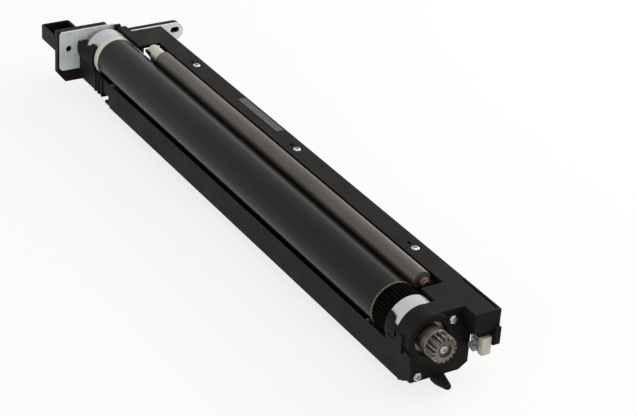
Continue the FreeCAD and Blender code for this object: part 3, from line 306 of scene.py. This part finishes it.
def moulded_plastic(name, dark, light, roughness, specular, grain=1.0):
    """Moulded plastic with a fine spark-eroded grain, faint flow marks and rubbed edges."""
    finish = Finish(name, dark, roughness, specular=specular)
    finish.soften(0.35 * MM)
    flow = finish.noise(scale=14.0, detail=4.0, stretch=(0.3, 1.0, 1.0))
    base = finish.mix(finish.scale_range(flow, low=0.35), dark, light)
    rubbed = tuple(min(1.0, 1.7 * part) for part in light)
    finish.colour(finish.mix(finish.edges(0.5 * MM), base, rubbed))
    patches = finish.noise(scale=60.0, detail=5.0)
    finish.roughness(finish.scale_range(patches, start=roughness - 0.08, end=roughness + 0.1))
    finish.bump(finish.noise(scale=2600.0, detail=2.0), depth=0.02 * MM, strength=0.35 * grain)
    return finish.material


# Where the drum's coat ends, in millimetres: a thin gold line at the front, a bare cream band at the rear
GOLD_EDGE = -36.6
BARE_EDGE = -391.9
EDGE_BLUR = 0.1


def drum_coating():
    """Deep glossy photoconductor coat over the tube, bare at both ends."""
    finish = Finish("drum_coating", (0.004, 0.004, 0.005), 0.24, specular=0.16)
    drift = finish.noise(scale=9.0, detail=2.0, stretch=(0.15, 1.0, 1.0))
    coat = finish.mix(finish.scale_range(drift), (0.0035, 0.0038, 0.0045), (0.0065, 0.0064, 0.0058))
    along = finish.along()
    front = finish.scale_range(along, (GOLD_EDGE - EDGE_BLUR) * MM, (GOLD_EDGE + EDGE_BLUR) * MM)
    rear = finish.scale_range(along, (BARE_EDGE + EDGE_BLUR) * MM, (BARE_EDGE - EDGE_BLUR) * MM)
    gold = finish.mix(front, coat, (0.17, 0.155, 0.085))
    finish.colour(finish.mix(rear, gold, (0.6, 0.585, 0.47)))
    streaks = finish.noise(scale=400.0, detail=2.0, stretch=(0.02, 1.0, 1.0))
    finish.roughness(finish.scale_range(streaks, start=0.14, end=0.22))
    return finish.material


def brushed_metal(name, dark, light, roughness, stretch, metallic=1.0):
    """Metal with drawn or turned marks, and darker patches of handling."""
    finish = Finish(name, light, roughness, metallic=metallic)
    finish.soften(0.15 * MM)
    marks = finish.noise(scale=700.0, detail=3.0, stretch=stretch)
    stain = finish.noise(scale=90.0, detail=4.0)
    base = finish.mix(finish.scale_range(marks), dark, light)
    finish.colour(finish.mix(finish.scale_range(stain, low=0.5, high=0.75, end=0.5), base, dark))
    finish.roughness(finish.scale_range(marks, start=roughness - 0.06, end=roughness + 0.12))
    finish.bump(marks, depth=0.01 * MM, strength=0.4)
    return finish.material


def soft_rubber(name, dark, light, roughness):
    """Smooth ground rubber with faint grinding marks round it."""
    finish = Finish(name, dark, roughness, specular=0.35)
    marks = finish.noise(scale=900.0, detail=2.0, stretch=(1.0, 0.04, 0.04))
    drift = finish.noise(scale=20.0, detail=3.0)
    finish.colour(finish.mix(finish.scale_range(drift), dark, light))
    finish.roughness(finish.scale_range(marks, start=roughness - 0.05, end=roughness + 0.05))
    finish.bump(marks, depth=0.01 * MM, strength=0.3)
    return finish.material


def felt_cloth():
    """Dense grey felt, fibrous and dull."""
    finish = Finish("felt", (0.28, 0.27, 0.25), 0.95, specular=0.1)
    fibres = finish.noise(scale=2200.0, detail=4.0)
    finish.colour(finish.ramp(fibres, [(0.3, (0.16, 0.15, 0.14)), (0.7, (0.4, 0.38, 0.35))]))
    finish.bump(fibres, depth=0.2 * MM, strength=0.8)
    return finish.material


def clear_plastic():
    """Smoky clear plastic with a little haze in it."""
    finish = Finish("clear_plastic", (0.55, 0.57, 0.6), 0.12)
    finish.shader.inputs["Transmission Weight"].default_value = 0.55
    finish.shader.inputs["IOR"].default_value = 1.49
    finish.soften(0.25 * MM)
    haze = finish.noise(scale=300.0, detail=3.0)
    finish.colour(finish.mix(finish.scale_range(haze), (0.42, 0.44, 0.48), (0.7, 0.72, 0.75)))
    finish.bump(haze, depth=0.05 * MM, strength=0.3)
    return finish.material


make_camera()
make_world()
make_floor()
make_lamps()

# Each finish by the name of its slot in the record
FINISHES = {
    "black_plastic": moulded_plastic("black_plastic", (0.0065, 0.0057, 0.0048), (0.012, 0.0105, 0.009),
                                     roughness=0.5, specular=0.06),
    "gear_plastic": moulded_plastic("gear_plastic", (0.001, 0.0009, 0.0008), (0.0018, 0.0017, 0.0015),
                                    roughness=0.65, specular=0.03),
    "white_plastic": moulded_plastic("white_plastic", (0.47, 0.47, 0.5), (0.56, 0.56, 0.59),
                                     roughness=0.4, specular=0.4, grain=0.3),
    "cream_plastic": moulded_plastic("cream_plastic", (0.5, 0.48, 0.4), (0.62, 0.6, 0.52),
                                     roughness=0.4, specular=0.4, grain=0.3),
    "steel": brushed_metal("turned_steel", (0.1, 0.088, 0.072), (0.3, 0.275, 0.24),
                           roughness=0.36, stretch=(1.0, 0.05, 0.05)),
    "plated_steel": brushed_metal("plated_steel", (0.6, 0.655, 0.665), (0.68, 0.735, 0.745),
                                  roughness=0.5, stretch=(0.3, 1.0, 0.3), metallic=0.45),
    "screw_steel": brushed_metal("screw_steel", (0.3, 0.31, 0.33), (0.55, 0.56, 0.59),
                                 roughness=0.28, stretch=(1.0, 1.0, 1.0)),
    "copper_bush": brushed_metal("copper_bush", (0.07, 0.042, 0.028), (0.17, 0.1, 0.07),
                                 roughness=0.5, stretch=(1.0, 0.2, 0.2)),
    "roller_rubber": soft_rubber("roller_rubber", (0.055, 0.047, 0.036), (0.078, 0.068, 0.054),
                                 roughness=0.42),
    "blade_rubber": soft_rubber("blade_rubber", (0.3, 0.2, 0.08), (0.42, 0.3, 0.14), roughness=0.4),
    "label": moulded_plastic("label", (0.04, 0.048, 0.05), (0.058, 0.068, 0.07),
                             roughness=0.45, specular=0.3, grain=0.4),
    "drum_coating": drum_coating(),
    "felt": felt_cloth(),
    "clear_plastic": clear_plastic(),
}


def dress_nodes():
    """Give each node of the frame the finish of its slot."""
    for part in frame["record"]["subparts"]:
        target = nodes[part["node"]]
        target.data.materials.clear()
        target.data.materials.append(FINISHES[part["material_slot"]])


dress_nodes()

# Ways to shape a piece. Outlines are in millimetres, and settle() brings them to metres.
# Points closer than HAIR are merged, and a cut runs PAST the face that it opens.
AXIS_STEP = {"X": Vector((1, 0, 0)), "Y": Vector((0, 1, 0)), "Z": Vector((0, 0, 1))}
AXIS_ORDER = {"X": (2, 0, 1), "Y": (0, 2, 1), "Z": (0, 1, 2)}
SHARP = math.radians(32)
HAIR = 0.001
PAST = 1.0


def arc(centre, radius, start, end, steps=8):
    """Points on an arc in the plane of an outline, angles in degrees."""
    turns = [math.radians(start + (end - start) * i / steps) for i in range(steps + 1)]
    return [(centre[0] + radius * math.cos(t), centre[1] + radius * math.sin(t)) for t in turns]


def circle(centre, radius, sides=24):
    return arc(centre, radius, 0, 360 - 360 / sides, sides - 1)


def box_outline(left, low, right, high):
    return [(left, low), (right, low), (right, high), (left, high)]


def prism(outline, start, end, axis="X"):
    """A solid with an outline of (across, up) points, run along one axis."""
    shape = bmesh.new()
    corners = []
    for across, up in outline:
        place = [(across, up, start)[k] for k in AXIS_ORDER[axis]]
        corners.append(shape.verts.new(place))
    face = shape.faces.new(corners)
    grown = bmesh.ops.extrude_face_region(shape, geom=[face])["geom"]
    moved = [item for item in grown if isinstance(item, bmesh.types.BMVert)]
    bmesh.ops.translate(shape, verts=moved, vec=AXIS_STEP[axis] * (end - start))
    bmesh.ops.recalc_face_normals(shape, faces=shape.faces)
    return shape


def runs_along(edge, axis):
    direction = (edge.verts[1].co - edge.verts[0].co).normalized()
    return abs(direction.dot(AXIS_STEP[axis])) > 0.999


def round_off(shape, edges, width, segments):
    """Bevel some edges of a shape."""
    bmesh.ops.bevel(shape, geom=edges, offset=width, offset_type="OFFSET", segments=segments,
                    profile=0.5, affect="EDGES", clamp_overlap=True, material=-1)
    return shape


def as_scratch(shape):
    """A helper object for one boolean step."""
    data = bpy.data.meshes.new("scratch")
    shape.to_mesh(data)
    shape.free()
    helper = bpy.data.objects.new("scratch", data)
    bpy.context.scene.collection.objects.link(helper)
    return helper


def combine(shape, tool, kind="DIFFERENCE"):
    """Cut a tool out of a shape, join it on, or keep what they share."""
    helpers = [as_scratch(shape), as_scratch(tool)]
    step = helpers[0].modifiers.new("combine", "BOOLEAN")
    step.operation = kind
    step.solver = "EXACT"
    step.object = helpers[1]
    seen = helpers[0].evaluated_get(bpy.context.evaluated_depsgraph_get())
    data = bpy.data.meshes.new_from_object(seen)
    result = bmesh.new()
    result.from_mesh(data)
    for helper in helpers:
        bpy.data.meshes.remove(helper.data)
    bpy.data.meshes.remove(data)
    return result


def copy_of(node):
    """A clean copy of a node's mesh, in millimetres."""
    shape = bmesh.new()
    shape.from_mesh(nodes[node].data)
    bmesh.ops.remove_doubles(shape, verts=shape.verts, dist=HAIR * MM)
    bmesh.ops.scale(shape, verts=shape.verts, vec=(1 / MM, 1 / MM, 1 / MM))
    return shape


def settle(name, shape, slot, body="frame", stands_for=()):
    """Finish a shape as a piece that rides on a body and, where it says so, stands for nodes."""
    bmesh.ops.remove_doubles(shape, verts=shape.verts, dist=HAIR)
    bmesh.ops.recalc_face_normals(shape, faces=shape.faces)
    bmesh.ops.scale(shape, verts=shape.verts, vec=(MM, MM, MM))
    for face in shape.faces:
        face.smooth = True
    for edge in shape.edges:
        edge.smooth = len(edge.link_faces) == 2 and edge.calc_face_angle() < SHARP
    data = bpy.data.meshes.new(name)
    shape.to_mesh(data)
    shape.free()
    data.materials.append(FINISHES[slot])
    piece = bpy.data.objects.new(name, data)
    bpy.context.scene.collection.objects.link(piece)
    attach(piece, body)
    if stands_for:
        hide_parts(*stands_for)


# Bright plate at the far end: a wide part with a round hole, and an arm with a slot
PLATE_BACK = -422.5
PLATE_FRONT = -421.0
PLATE_LEFT = -30.0
PLATE_RIGHT = 14.0
PLATE_LOW = -16.0
PLATE_TOP = 13.0
PLATE_CORNER = 2.5
ARM_HEIGHT = -1.3
ARM_RADIUS = 6.5
ARM_END = 60.1
ARM_TOP = ARM_HEIGHT + ARM_RADIUS
ARM_LOW = ARM_HEIGHT - ARM_RADIUS
HOLE_RADIUS = 2.25
LOCATING_HOLE = (-23.3, 0.0)
SLOT_CENTRE = (59.8, 0.1)
SLOT_HALF = 1.25


def slot_outline(grow=0.0):
    """The round-ended slot in the arm."""
    across, height = SLOT_CENTRE
    right = arc((across + SLOT_HALF, height), HOLE_RADIUS + grow, 90, -90, steps=10)
    left = arc((across - SLOT_HALF, height), HOLE_RADIUS + grow, -90, -270, steps=10)
    return right + left


def arm_end():
    return arc((ARM_END, ARM_HEIGHT), ARM_RADIUS, 90, -90, steps=20)


def make_locating_plate():
    left = PLATE_LEFT + PLATE_CORNER
    right = PLATE_RIGHT - PLATE_CORNER
    low = PLATE_LOW + PLATE_CORNER
    high = PLATE_TOP - PLATE_CORNER
    outline = arm_end() + [(PLATE_RIGHT, ARM_LOW)]
    corners = [(right, low), (left, low), (left, high), (right, high)]
    for corner, start in zip(corners, (0, -90, -180, -270)):
        outline += arc(corner, PLATE_CORNER, start, start - 90)
    outline += [(PLATE_RIGHT, ARM_TOP)]
    shape = prism(outline, PLATE_BACK, PLATE_FRONT)
    for opening in (circle(LOCATING_HOLE, HOLE_RADIUS), slot_outline()):
        shape = combine(shape, prism(opening, PLATE_BACK - PAST, PLATE_FRONT + PAST))
    settle("locating_plate_stamped", shape, "plated_steel", stands_for=["locating_plate"])


# Moulded back of the plate, with a hollow grip
HANDLE_BACK = -427.0
HANDLE_LEFT = -31.3
HANDLE_RIGHT = 34.0
HANDLE_LOW = -25.5
HANDLE_TOP = 13.3
HANDLE_STEP = 6.5
HANDLE_SLOPE = 2.0
HANDLE_CUT_ACROSS = 6.0
HANDLE_CUT_UP = 7.5
HANDLE_WALL = 1.5
HOLE_ROOM = 0.6
GRIP_BACK = -451.2
GRIP_RIGHT = -10.0
GRIP_LOW = -2.3
GRIP_TOP = 7.8
GRIP_ROUND = 2.0
GRIP_OVERLAP = 0.5


def grip_shape():
    """A box open at its top, its back corners rounded."""
    outside = box_outline(HANDLE_LEFT, GRIP_LOW, GRIP_RIGHT, GRIP_TOP)
    grip = prism(outside, GRIP_BACK, HANDLE_BACK + GRIP_OVERLAP)
    upright = [edge for edge in grip.edges if runs_along(edge, "Z")]
    corners = [edge for edge in upright if edge.verts[0].co.x < GRIP_BACK + HAIR]
    grip = round_off(grip, corners, GRIP_ROUND, segments=4)
    room = box_outline(GRIP_BACK + HANDLE_WALL, HANDLE_LEFT + HANDLE_WALL,
                       HANDLE_BACK - HANDLE_WALL, GRIP_RIGHT - HANDLE_WALL)
    return combine(grip, prism(room, GRIP_LOW + HANDLE_WALL, GRIP_TOP + PAST, "Z"))


def make_rear_handle():
    outline = arm_end() + [
        (HANDLE_RIGHT, ARM_LOW), (HANDLE_RIGHT, HANDLE_LOW),
        (HANDLE_LEFT + HANDLE_CUT_ACROSS, HANDLE_LOW), (HANDLE_LEFT, HANDLE_LOW + HANDLE_CUT_UP),
        (HANDLE_LEFT, HANDLE_TOP), (HANDLE_STEP, HANDLE_TOP), (HANDLE_STEP + HANDLE_SLOPE, ARM_TOP)]
    shape = prism(outline, HANDLE_BACK, PLATE_BACK)
    hollow = box_outline(GRIP_RIGHT + HANDLE_WALL, HANDLE_LOW + HANDLE_WALL,
                         HANDLE_RIGHT - HANDLE_WALL, ARM_TOP - HANDLE_WALL)
    shape = combine(shape, prism(hollow, HANDLE_BACK - PAST, PLATE_BACK - HANDLE_WALL))
    for opening in (circle(LOCATING_HOLE, HOLE_RADIUS + HOLE_ROOM), slot_outline(HOLE_ROOM)):
        shape = combine(shape, prism(opening, PLATE_BACK - 2 * HANDLE_WALL, PLATE_BACK + PAST))
    shape = combine(shape, grip_shape(), "UNION")
    settle("rear_handle_moulding", shape, "black_plastic", stands_for=["rear_handle"])


# Curved walls beside the white flange and the white sleeve. Their top edges are given as (x, height).
SHIELD_RADIUS = 15.4
REAR_SHIELD_EDGE = [(PLATE_FRONT, 4.8), (-406.2, 6.1), (-402.2, 9.4), (-397.2, 9.4)]
REAR_SHIELD_LOW = -9.0
REAR_SHIELD_WALL = 1.5
SLEEVE_SHIELD_EDGE = [(-20.0, 9.4), (-14.6, 8.5), (-13.6, 5.4), (-10.6, 5.4)]
SLEEVE_SHIELD_LOW = -7.5
SLEEVE_SHIELD_WALL = 1.0
SHIELD_STEPS = 14


def arc_wall(top_edge, low, wall):
    """A thin curved wall on the left of the drum's axis."""
    shape = bmesh.new()
    bottom = math.acos(low / SHIELD_RADIUS)
    lines = []
    for x, top in top_edge:
        start = math.acos(top / SHIELD_RADIUS)
        turns = [start + (bottom - start) * i / SHIELD_STEPS for i in range(SHIELD_STEPS + 1)]
        places = [(x, -SHIELD_RADIUS * math.sin(t), SHIELD_RADIUS * math.cos(t)) for t in turns]
        row = [shape.verts.new(place) for place in places]
        lines.append([shape.edges.new(pair) for pair in zip(row, row[1:])])
    for near, far in zip(lines, lines[1:]):
        bmesh.ops.bridge_loops(shape, edges=near + far)
    bmesh.ops.recalc_face_normals(shape, faces=shape.faces)
    outward = sum(face.normal.dot(face.calc_center_median() * Vector((0, 1, 1))) for face in shape.faces)
    if outward > 0:
        bmesh.ops.reverse_faces(shape, faces=shape.faces)
    bmesh.ops.solidify(shape, geom=shape.faces, thickness=wall)
    return shape


def make_drum_shields():
    rear = arc_wall(REAR_SHIELD_EDGE, REAR_SHIELD_LOW, REAR_SHIELD_WALL)
    settle("rear_flange_shield", rear, "black_plastic")
    front = arc_wall(SLEEVE_SHIELD_EDGE, SLEEVE_SHIELD_LOW, SLEEVE_SHIELD_WALL)
    settle("sleeve_shield", front, "black_plastic")


# Front bearing holder, whose left shoulder falls away in a slope
BOSS_RADIUS = 15.2
HOLDER_BACK = -20.0
HOLDER_FRONT = 3.0
SHOULDER_LEFT = -18.0
SHOULDER_RIGHT = -12.0
SHOULDER_BACK = -10.5
SHOULDER_FRONT = -2.0
SHOULDER_LOW = -2.7
SHOULDER_TOP = 2.8
SHOULDER_RUN = 4.5
SHOULDER_CLEAR = 8.0


def make_bearing_holder():
    behind = box_outline(HOLDER_BACK, SHOULDER_LOW, SHOULDER_BACK, SHOULDER_CLEAR)
    shape = combine(copy_of("front_bearing_holder"), prism(behind, SHOULDER_LEFT, SHOULDER_RIGHT, "Y"))
    start = SHOULDER_BACK - PAST
    above = [(start, SHOULDER_LOW), (SHOULDER_BACK + SHOULDER_RUN, SHOULDER_TOP),
             (SHOULDER_FRONT, SHOULDER_TOP), (SHOULDER_FRONT, SHOULDER_CLEAR), (start, SHOULDER_CLEAR)]
    boss = prism(circle((0.0, 0.0), BOSS_RADIUS, sides=96), SHOULDER_BACK - 10 * HAIR, HOLDER_FRONT)
    outside_boss = combine(prism(above, SHOULDER_LEFT, SHOULDER_RIGHT, "Y"), boss)
    shape = combine(shape, outside_boss)
    settle("front_bearing_boss", shape, "black_plastic", stands_for=["front_bearing_holder"])


# Charge roller with its bushes, its front shaft end and the bracket that carries it
CHARGE_CENTRE = (17.07, 12.4)
CHARGE_RADIUS = 5.8
CHARGE_FRONT = -35.0
CHARGE_REAR = -355.0
CHARGE_END_GAP = 0.3
REAR_BUSH_BACK = -371.0
REAR_BUSH_RADIUS = 4.6
FRONT_BUSH_RADIUS = 3.1
FRONT_BUSH_PROUD = 0.5
SHAFT_END_RADIUS = 2.2
SHAFT_END_PROUD = 1.2
SHAFT_ROOM = 0.2
BAR_BEVEL = 0.3
SHAFT_BEVEL = 0.4
BRACKET_FRONT = -31.6
BRACKET_GAP = 0.8
BRACKET_OUTLINE = [(10.4, 2.0), (36.4, 2.0), (36.4, 6.0), (24.0, 8.0), (24.0, 11.5), (10.4, 11.5)]


def round_bar(radius, start, end, bevel):
    """A bar on the charge roller's axis, its ends bevelled."""
    bar = prism(circle(CHARGE_CENTRE, radius, sides=48), start, end)
    rims = [edge for edge in bar.edges if not runs_along(edge, "X")]
    return round_off(bar, rims, bevel, segments=2)


def make_charge_roller():
    rubber = round_bar(CHARGE_RADIUS, CHARGE_REAR, CHARGE_FRONT, BAR_BEVEL)
    settle("charge_roller_rubber", rubber, "roller_rubber", "charge", ["charge_roller"])
    shaft = round_bar(SHAFT_END_RADIUS, CHARGE_FRONT - PAST, BRACKET_FRONT + SHAFT_END_PROUD, SHAFT_BEVEL)
    settle("charge_shaft_end", shaft, "steel", "charge")


def make_charge_bushes():
    rear = round_bar(REAR_BUSH_RADIUS, REAR_BUSH_BACK, CHARGE_REAR - CHARGE_END_GAP, SHAFT_BEVEL)
    settle("charge_bush_long", rear, "cream_plastic", stands_for=["charge_bush_rear"])
    front = round_bar(FRONT_BUSH_RADIUS, CHARGE_FRONT + CHARGE_END_GAP,
                      BRACKET_FRONT + FRONT_BUSH_PROUD, BAR_BEVEL)
    bore = circle(CHARGE_CENTRE, SHAFT_END_RADIUS + SHAFT_ROOM)
    front = combine(front, prism(bore, CHARGE_FRONT, BRACKET_FRONT + 2 * PAST))
    settle("charge_bush_short", front, "copper_bush", stands_for=["charge_bush_front"])


def make_charge_bracket():
    bracket = prism(BRACKET_OUTLINE, CHARGE_FRONT + BRACKET_GAP, BRACKET_FRONT)
    seat = prism(circle(CHARGE_CENTRE, FRONT_BUSH_RADIUS), CHARGE_FRONT, BRACKET_FRONT + PAST)
    settle("charge_bracket", combine(bracket, seat), "black_plastic")


# Rooms cut out of the trough and the far end, each as (left, low, right, high) and its reach along X
ROLLER_ROOM = (9.0, 5.8, 25.5, 15.0)
ROLLER_ROOM_REACH = (-42.5, -37.8)
BEHIND_ARM = (15.6, ARM_TOP, 39.0, 14.0)
BEHIND_ARM_REACH = (-422.0, -402.0)
BY_PLATE = (9.0, 12.7, 16.0, 16.0)
BY_PLATE_REACH = (-422.0, -411.0)
OVER_FLANGE = (-16.0, 5.0, 11.5, 16.0)
OVER_FLANGE_REACH = (-421.5, -410.5)


def make_trough():
    """The trough, its front bracket cut back to let the charge roller through."""
    room = prism(box_outline(*ROLLER_ROOM), *ROLLER_ROOM_REACH)
    shape = combine(copy_of("main_frame"), room)
    settle("trough_moulding", shape, "black_plastic", stands_for=["main_frame"])


def make_rear_housing():
    """The far end, lower behind the plate's arm, with its boss open over the white flange."""
    shape = copy_of("rear_end_housing")
    for room, reach in (
            (BEHIND_ARM, BEHIND_ARM_REACH),
            (BY_PLATE, BY_PLATE_REACH),
            (OVER_FLANGE, OVER_FLANGE_REACH)):
        shape = combine(shape, prism(box_outline(*room), *reach))
    settle("rear_end_moulding", shape, "black_plastic", stands_for=["rear_end_housing"])


# Plug beside the end plate: a clear housing with grooves, a pale block in front and a black tab over both
PLUG_LEFT = 28.0
PLUG_RIGHT = 33.6
PLUG_LOW = -13.0
PLUG_TOP = -2.2
PLUG_BACK = 0.5
HOUSING_ROUND = 0.3
BLOCK_BACK = 8.5
BLOCK_FRONT = 12.2
BLOCK_LIP = 0.4
BLOCK_SIDE_LIP = 0.2
BLOCK_ROUND = 0.45
GROOVE_LOWS = (-11.6, -8.9, -6.2)
GROOVE_HEIGHT = 1.5
GROOVE_DEPTH = 0.9
GROOVE_BACK = 2.0
GROOVE_END_GAP = 1.2
TAB_LEFT = 26.4
TAB_RIGHT = 35.0
TAB_FRONT = 9.9
TAB_OUTLINE = [(-3.0, 2.4), (-3.0, -6.0), (0.4, -6.0), (3.0, PLUG_TOP),
               (TAB_FRONT, PLUG_TOP), (TAB_FRONT, 2.4)]
TAB_ROUND = 0.5


def make_connector():
    face = box_outline(PLUG_LEFT - BLOCK_LIP, PLUG_LOW - BLOCK_LIP, PLUG_RIGHT + BLOCK_SIDE_LIP, PLUG_TOP)
    block = prism(face, BLOCK_BACK, BLOCK_FRONT)
    block = round_off(block, block.edges[:], BLOCK_ROUND, segments=3)
    settle("connector_block", block, "cream_plastic", stands_for=["connector_face"])

    housing = prism(box_outline(PLUG_LEFT, PLUG_LOW, PLUG_RIGHT, PLUG_TOP), PLUG_BACK, BLOCK_BACK)
    housing = round_off(housing, housing.edges[:], HOUSING_ROUND, segments=2)
    for low in GROOVE_LOWS:
        groove = box_outline(GROOVE_BACK, low, BLOCK_BACK - GROOVE_END_GAP, low + GROOVE_HEIGHT)
        housing = combine(housing, prism(groove, PLUG_LEFT - PAST, PLUG_LEFT + GROOVE_DEPTH, "Y"))
    settle("connector_housing", housing, "clear_plastic", stands_for=["connector_shell"])

    tab = prism(TAB_OUTLINE, TAB_LEFT, TAB_RIGHT, "Y")
    long_edges = [edge for edge in tab.edges if runs_along(edge, "Y")]
    settle("connector_tab", round_off(tab, long_edges, TAB_ROUND, segments=2), "black_plastic")


# Screws with a domed head and a cross recess
HEAD_RADIUS = 2.6
HEAD_HEIGHT = 1.5
HEAD_RIM = 0.75
DOME_STEPS = 6
SHANK_RADIUS = 1.3
SHANK_LENGTH = 8.0
SCREW_SIDES = 28
CROSS_WIDTH = 0.75
CROSS_REACH = 1.55
CROSS_DEPTH = 1.0
RAIL_SCREW_FIRST = -63.5
RAIL_SCREW_STEP = 134.8
RAIL_SCREW_ACROSS = 31.0
RAIL_SCREW_COUNT = 3
END_PLATE_SCREW = (1.2, 13.8, 8.5)
LOWER_SCREW = (0.0, -5.9, -24.0)
PINION_SCREW = (13.3, 0.0, 0.0)
REAR_SCREWS = [(20.0, ARM_HEIGHT), (0.0, -18.3)]
FIRST_TWIST = 25
NEXT_TWIST = 40


def screw_shape():
    """One screw that points up, its seat at the origin."""
    turns = [math.radians(90 * i / DOME_STEPS) for i in range(DOME_STEPS + 1)]
    dome = [(HEAD_RADIUS * math.cos(t), HEAD_RIM + (HEAD_HEIGHT - HEAD_RIM) * math.sin(t)) for t in turns]
    shank = [(0.0, -SHANK_LENGTH), (SHANK_RADIUS, -SHANK_LENGTH), (SHANK_RADIUS, 0.0), (HEAD_RADIUS, 0.0)]
    shape = bmesh.new()
    verts = [shape.verts.new((radius, 0.0, height)) for radius, height in shank + dome]
    edges = [shape.edges.new(pair) for pair in zip(verts, verts[1:])]
    bmesh.ops.spin(shape, geom=verts + edges, cent=(0, 0, 0), axis=(0, 0, 1), angle=math.tau,
                   steps=SCREW_SIDES, use_merge=True)
    bmesh.ops.remove_doubles(shape, verts=shape.verts, dist=HAIR)
    bmesh.ops.recalc_face_normals(shape, faces=shape.faces)
    for wide, deep in ((CROSS_REACH, CROSS_WIDTH / 2), (CROSS_WIDTH / 2, CROSS_REACH)):
        slot = box_outline(-wide, -deep, wide, deep)
        shape = combine(shape, prism(slot, HEAD_HEIGHT - CROSS_DEPTH, HEAD_HEIGHT + PAST, "Z"))
    return shape


def screw_group(pattern, turn, places):
    """Copies of the screw, each turned to its seat and twisted by its own angle."""
    group = bmesh.new()
    for number, place in enumerate(places):
        twist = Matrix.Rotation(math.radians(FIRST_TWIST + NEXT_TWIST * number), 4, "Z")
        single = bmesh.new()
        single.from_mesh(pattern)
        bmesh.ops.transform(single, verts=single.verts, matrix=Matrix.Translation(place) @ turn @ twist)
        placed = bpy.data.meshes.new("placed")
        single.to_mesh(placed)
        single.free()
        group.from_mesh(placed)
        bpy.data.meshes.remove(placed)
    return group


def make_screws():
    upright = Matrix.Identity(4)
    forward = Matrix.Rotation(math.radians(90), 4, "Y")
    rearward = Matrix.Rotation(math.radians(-90), 4, "Y")
    rail_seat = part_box("rail_screws")[1][2] / MM - HEAD_HEIGHT
    rail_places = [(RAIL_SCREW_FIRST - RAIL_SCREW_STEP * i, RAIL_SCREW_ACROSS, rail_seat)
                   for i in range(RAIL_SCREW_COUNT)]
    rear_places = [(PLATE_BACK - HANDLE_WALL, across, height) for across, height in REAR_SCREWS]
    pattern = bpy.data.meshes.new("screw_pattern")
    one = screw_shape()
    one.to_mesh(pattern)
    one.free()
    for node, body, turn, places in (
            ("rail_screws", "frame", upright, rail_places),
            ("end_plate_screw", "frame", forward, [END_PLATE_SCREW]),
            ("lower_screw", "frame", forward, [LOWER_SCREW]),
            ("rear_screws", "frame", rearward, rear_places),
            ("pinion_screw", "drum", forward, [PINION_SCREW])):
        settle(node + "_cross", screw_group(pattern, turn, places), "screw_steel", body, [node])
    bpy.data.meshes.remove(pattern)


make_locating_plate()
make_rear_handle()
make_drum_shields()
make_bearing_holder()
make_charge_roller()
make_charge_bushes()
make_charge_bracket()
make_trough()
make_rear_housing()
make_connector()
make_screws()

bpy.context.scene.view_settings.view_transform = "Standard"
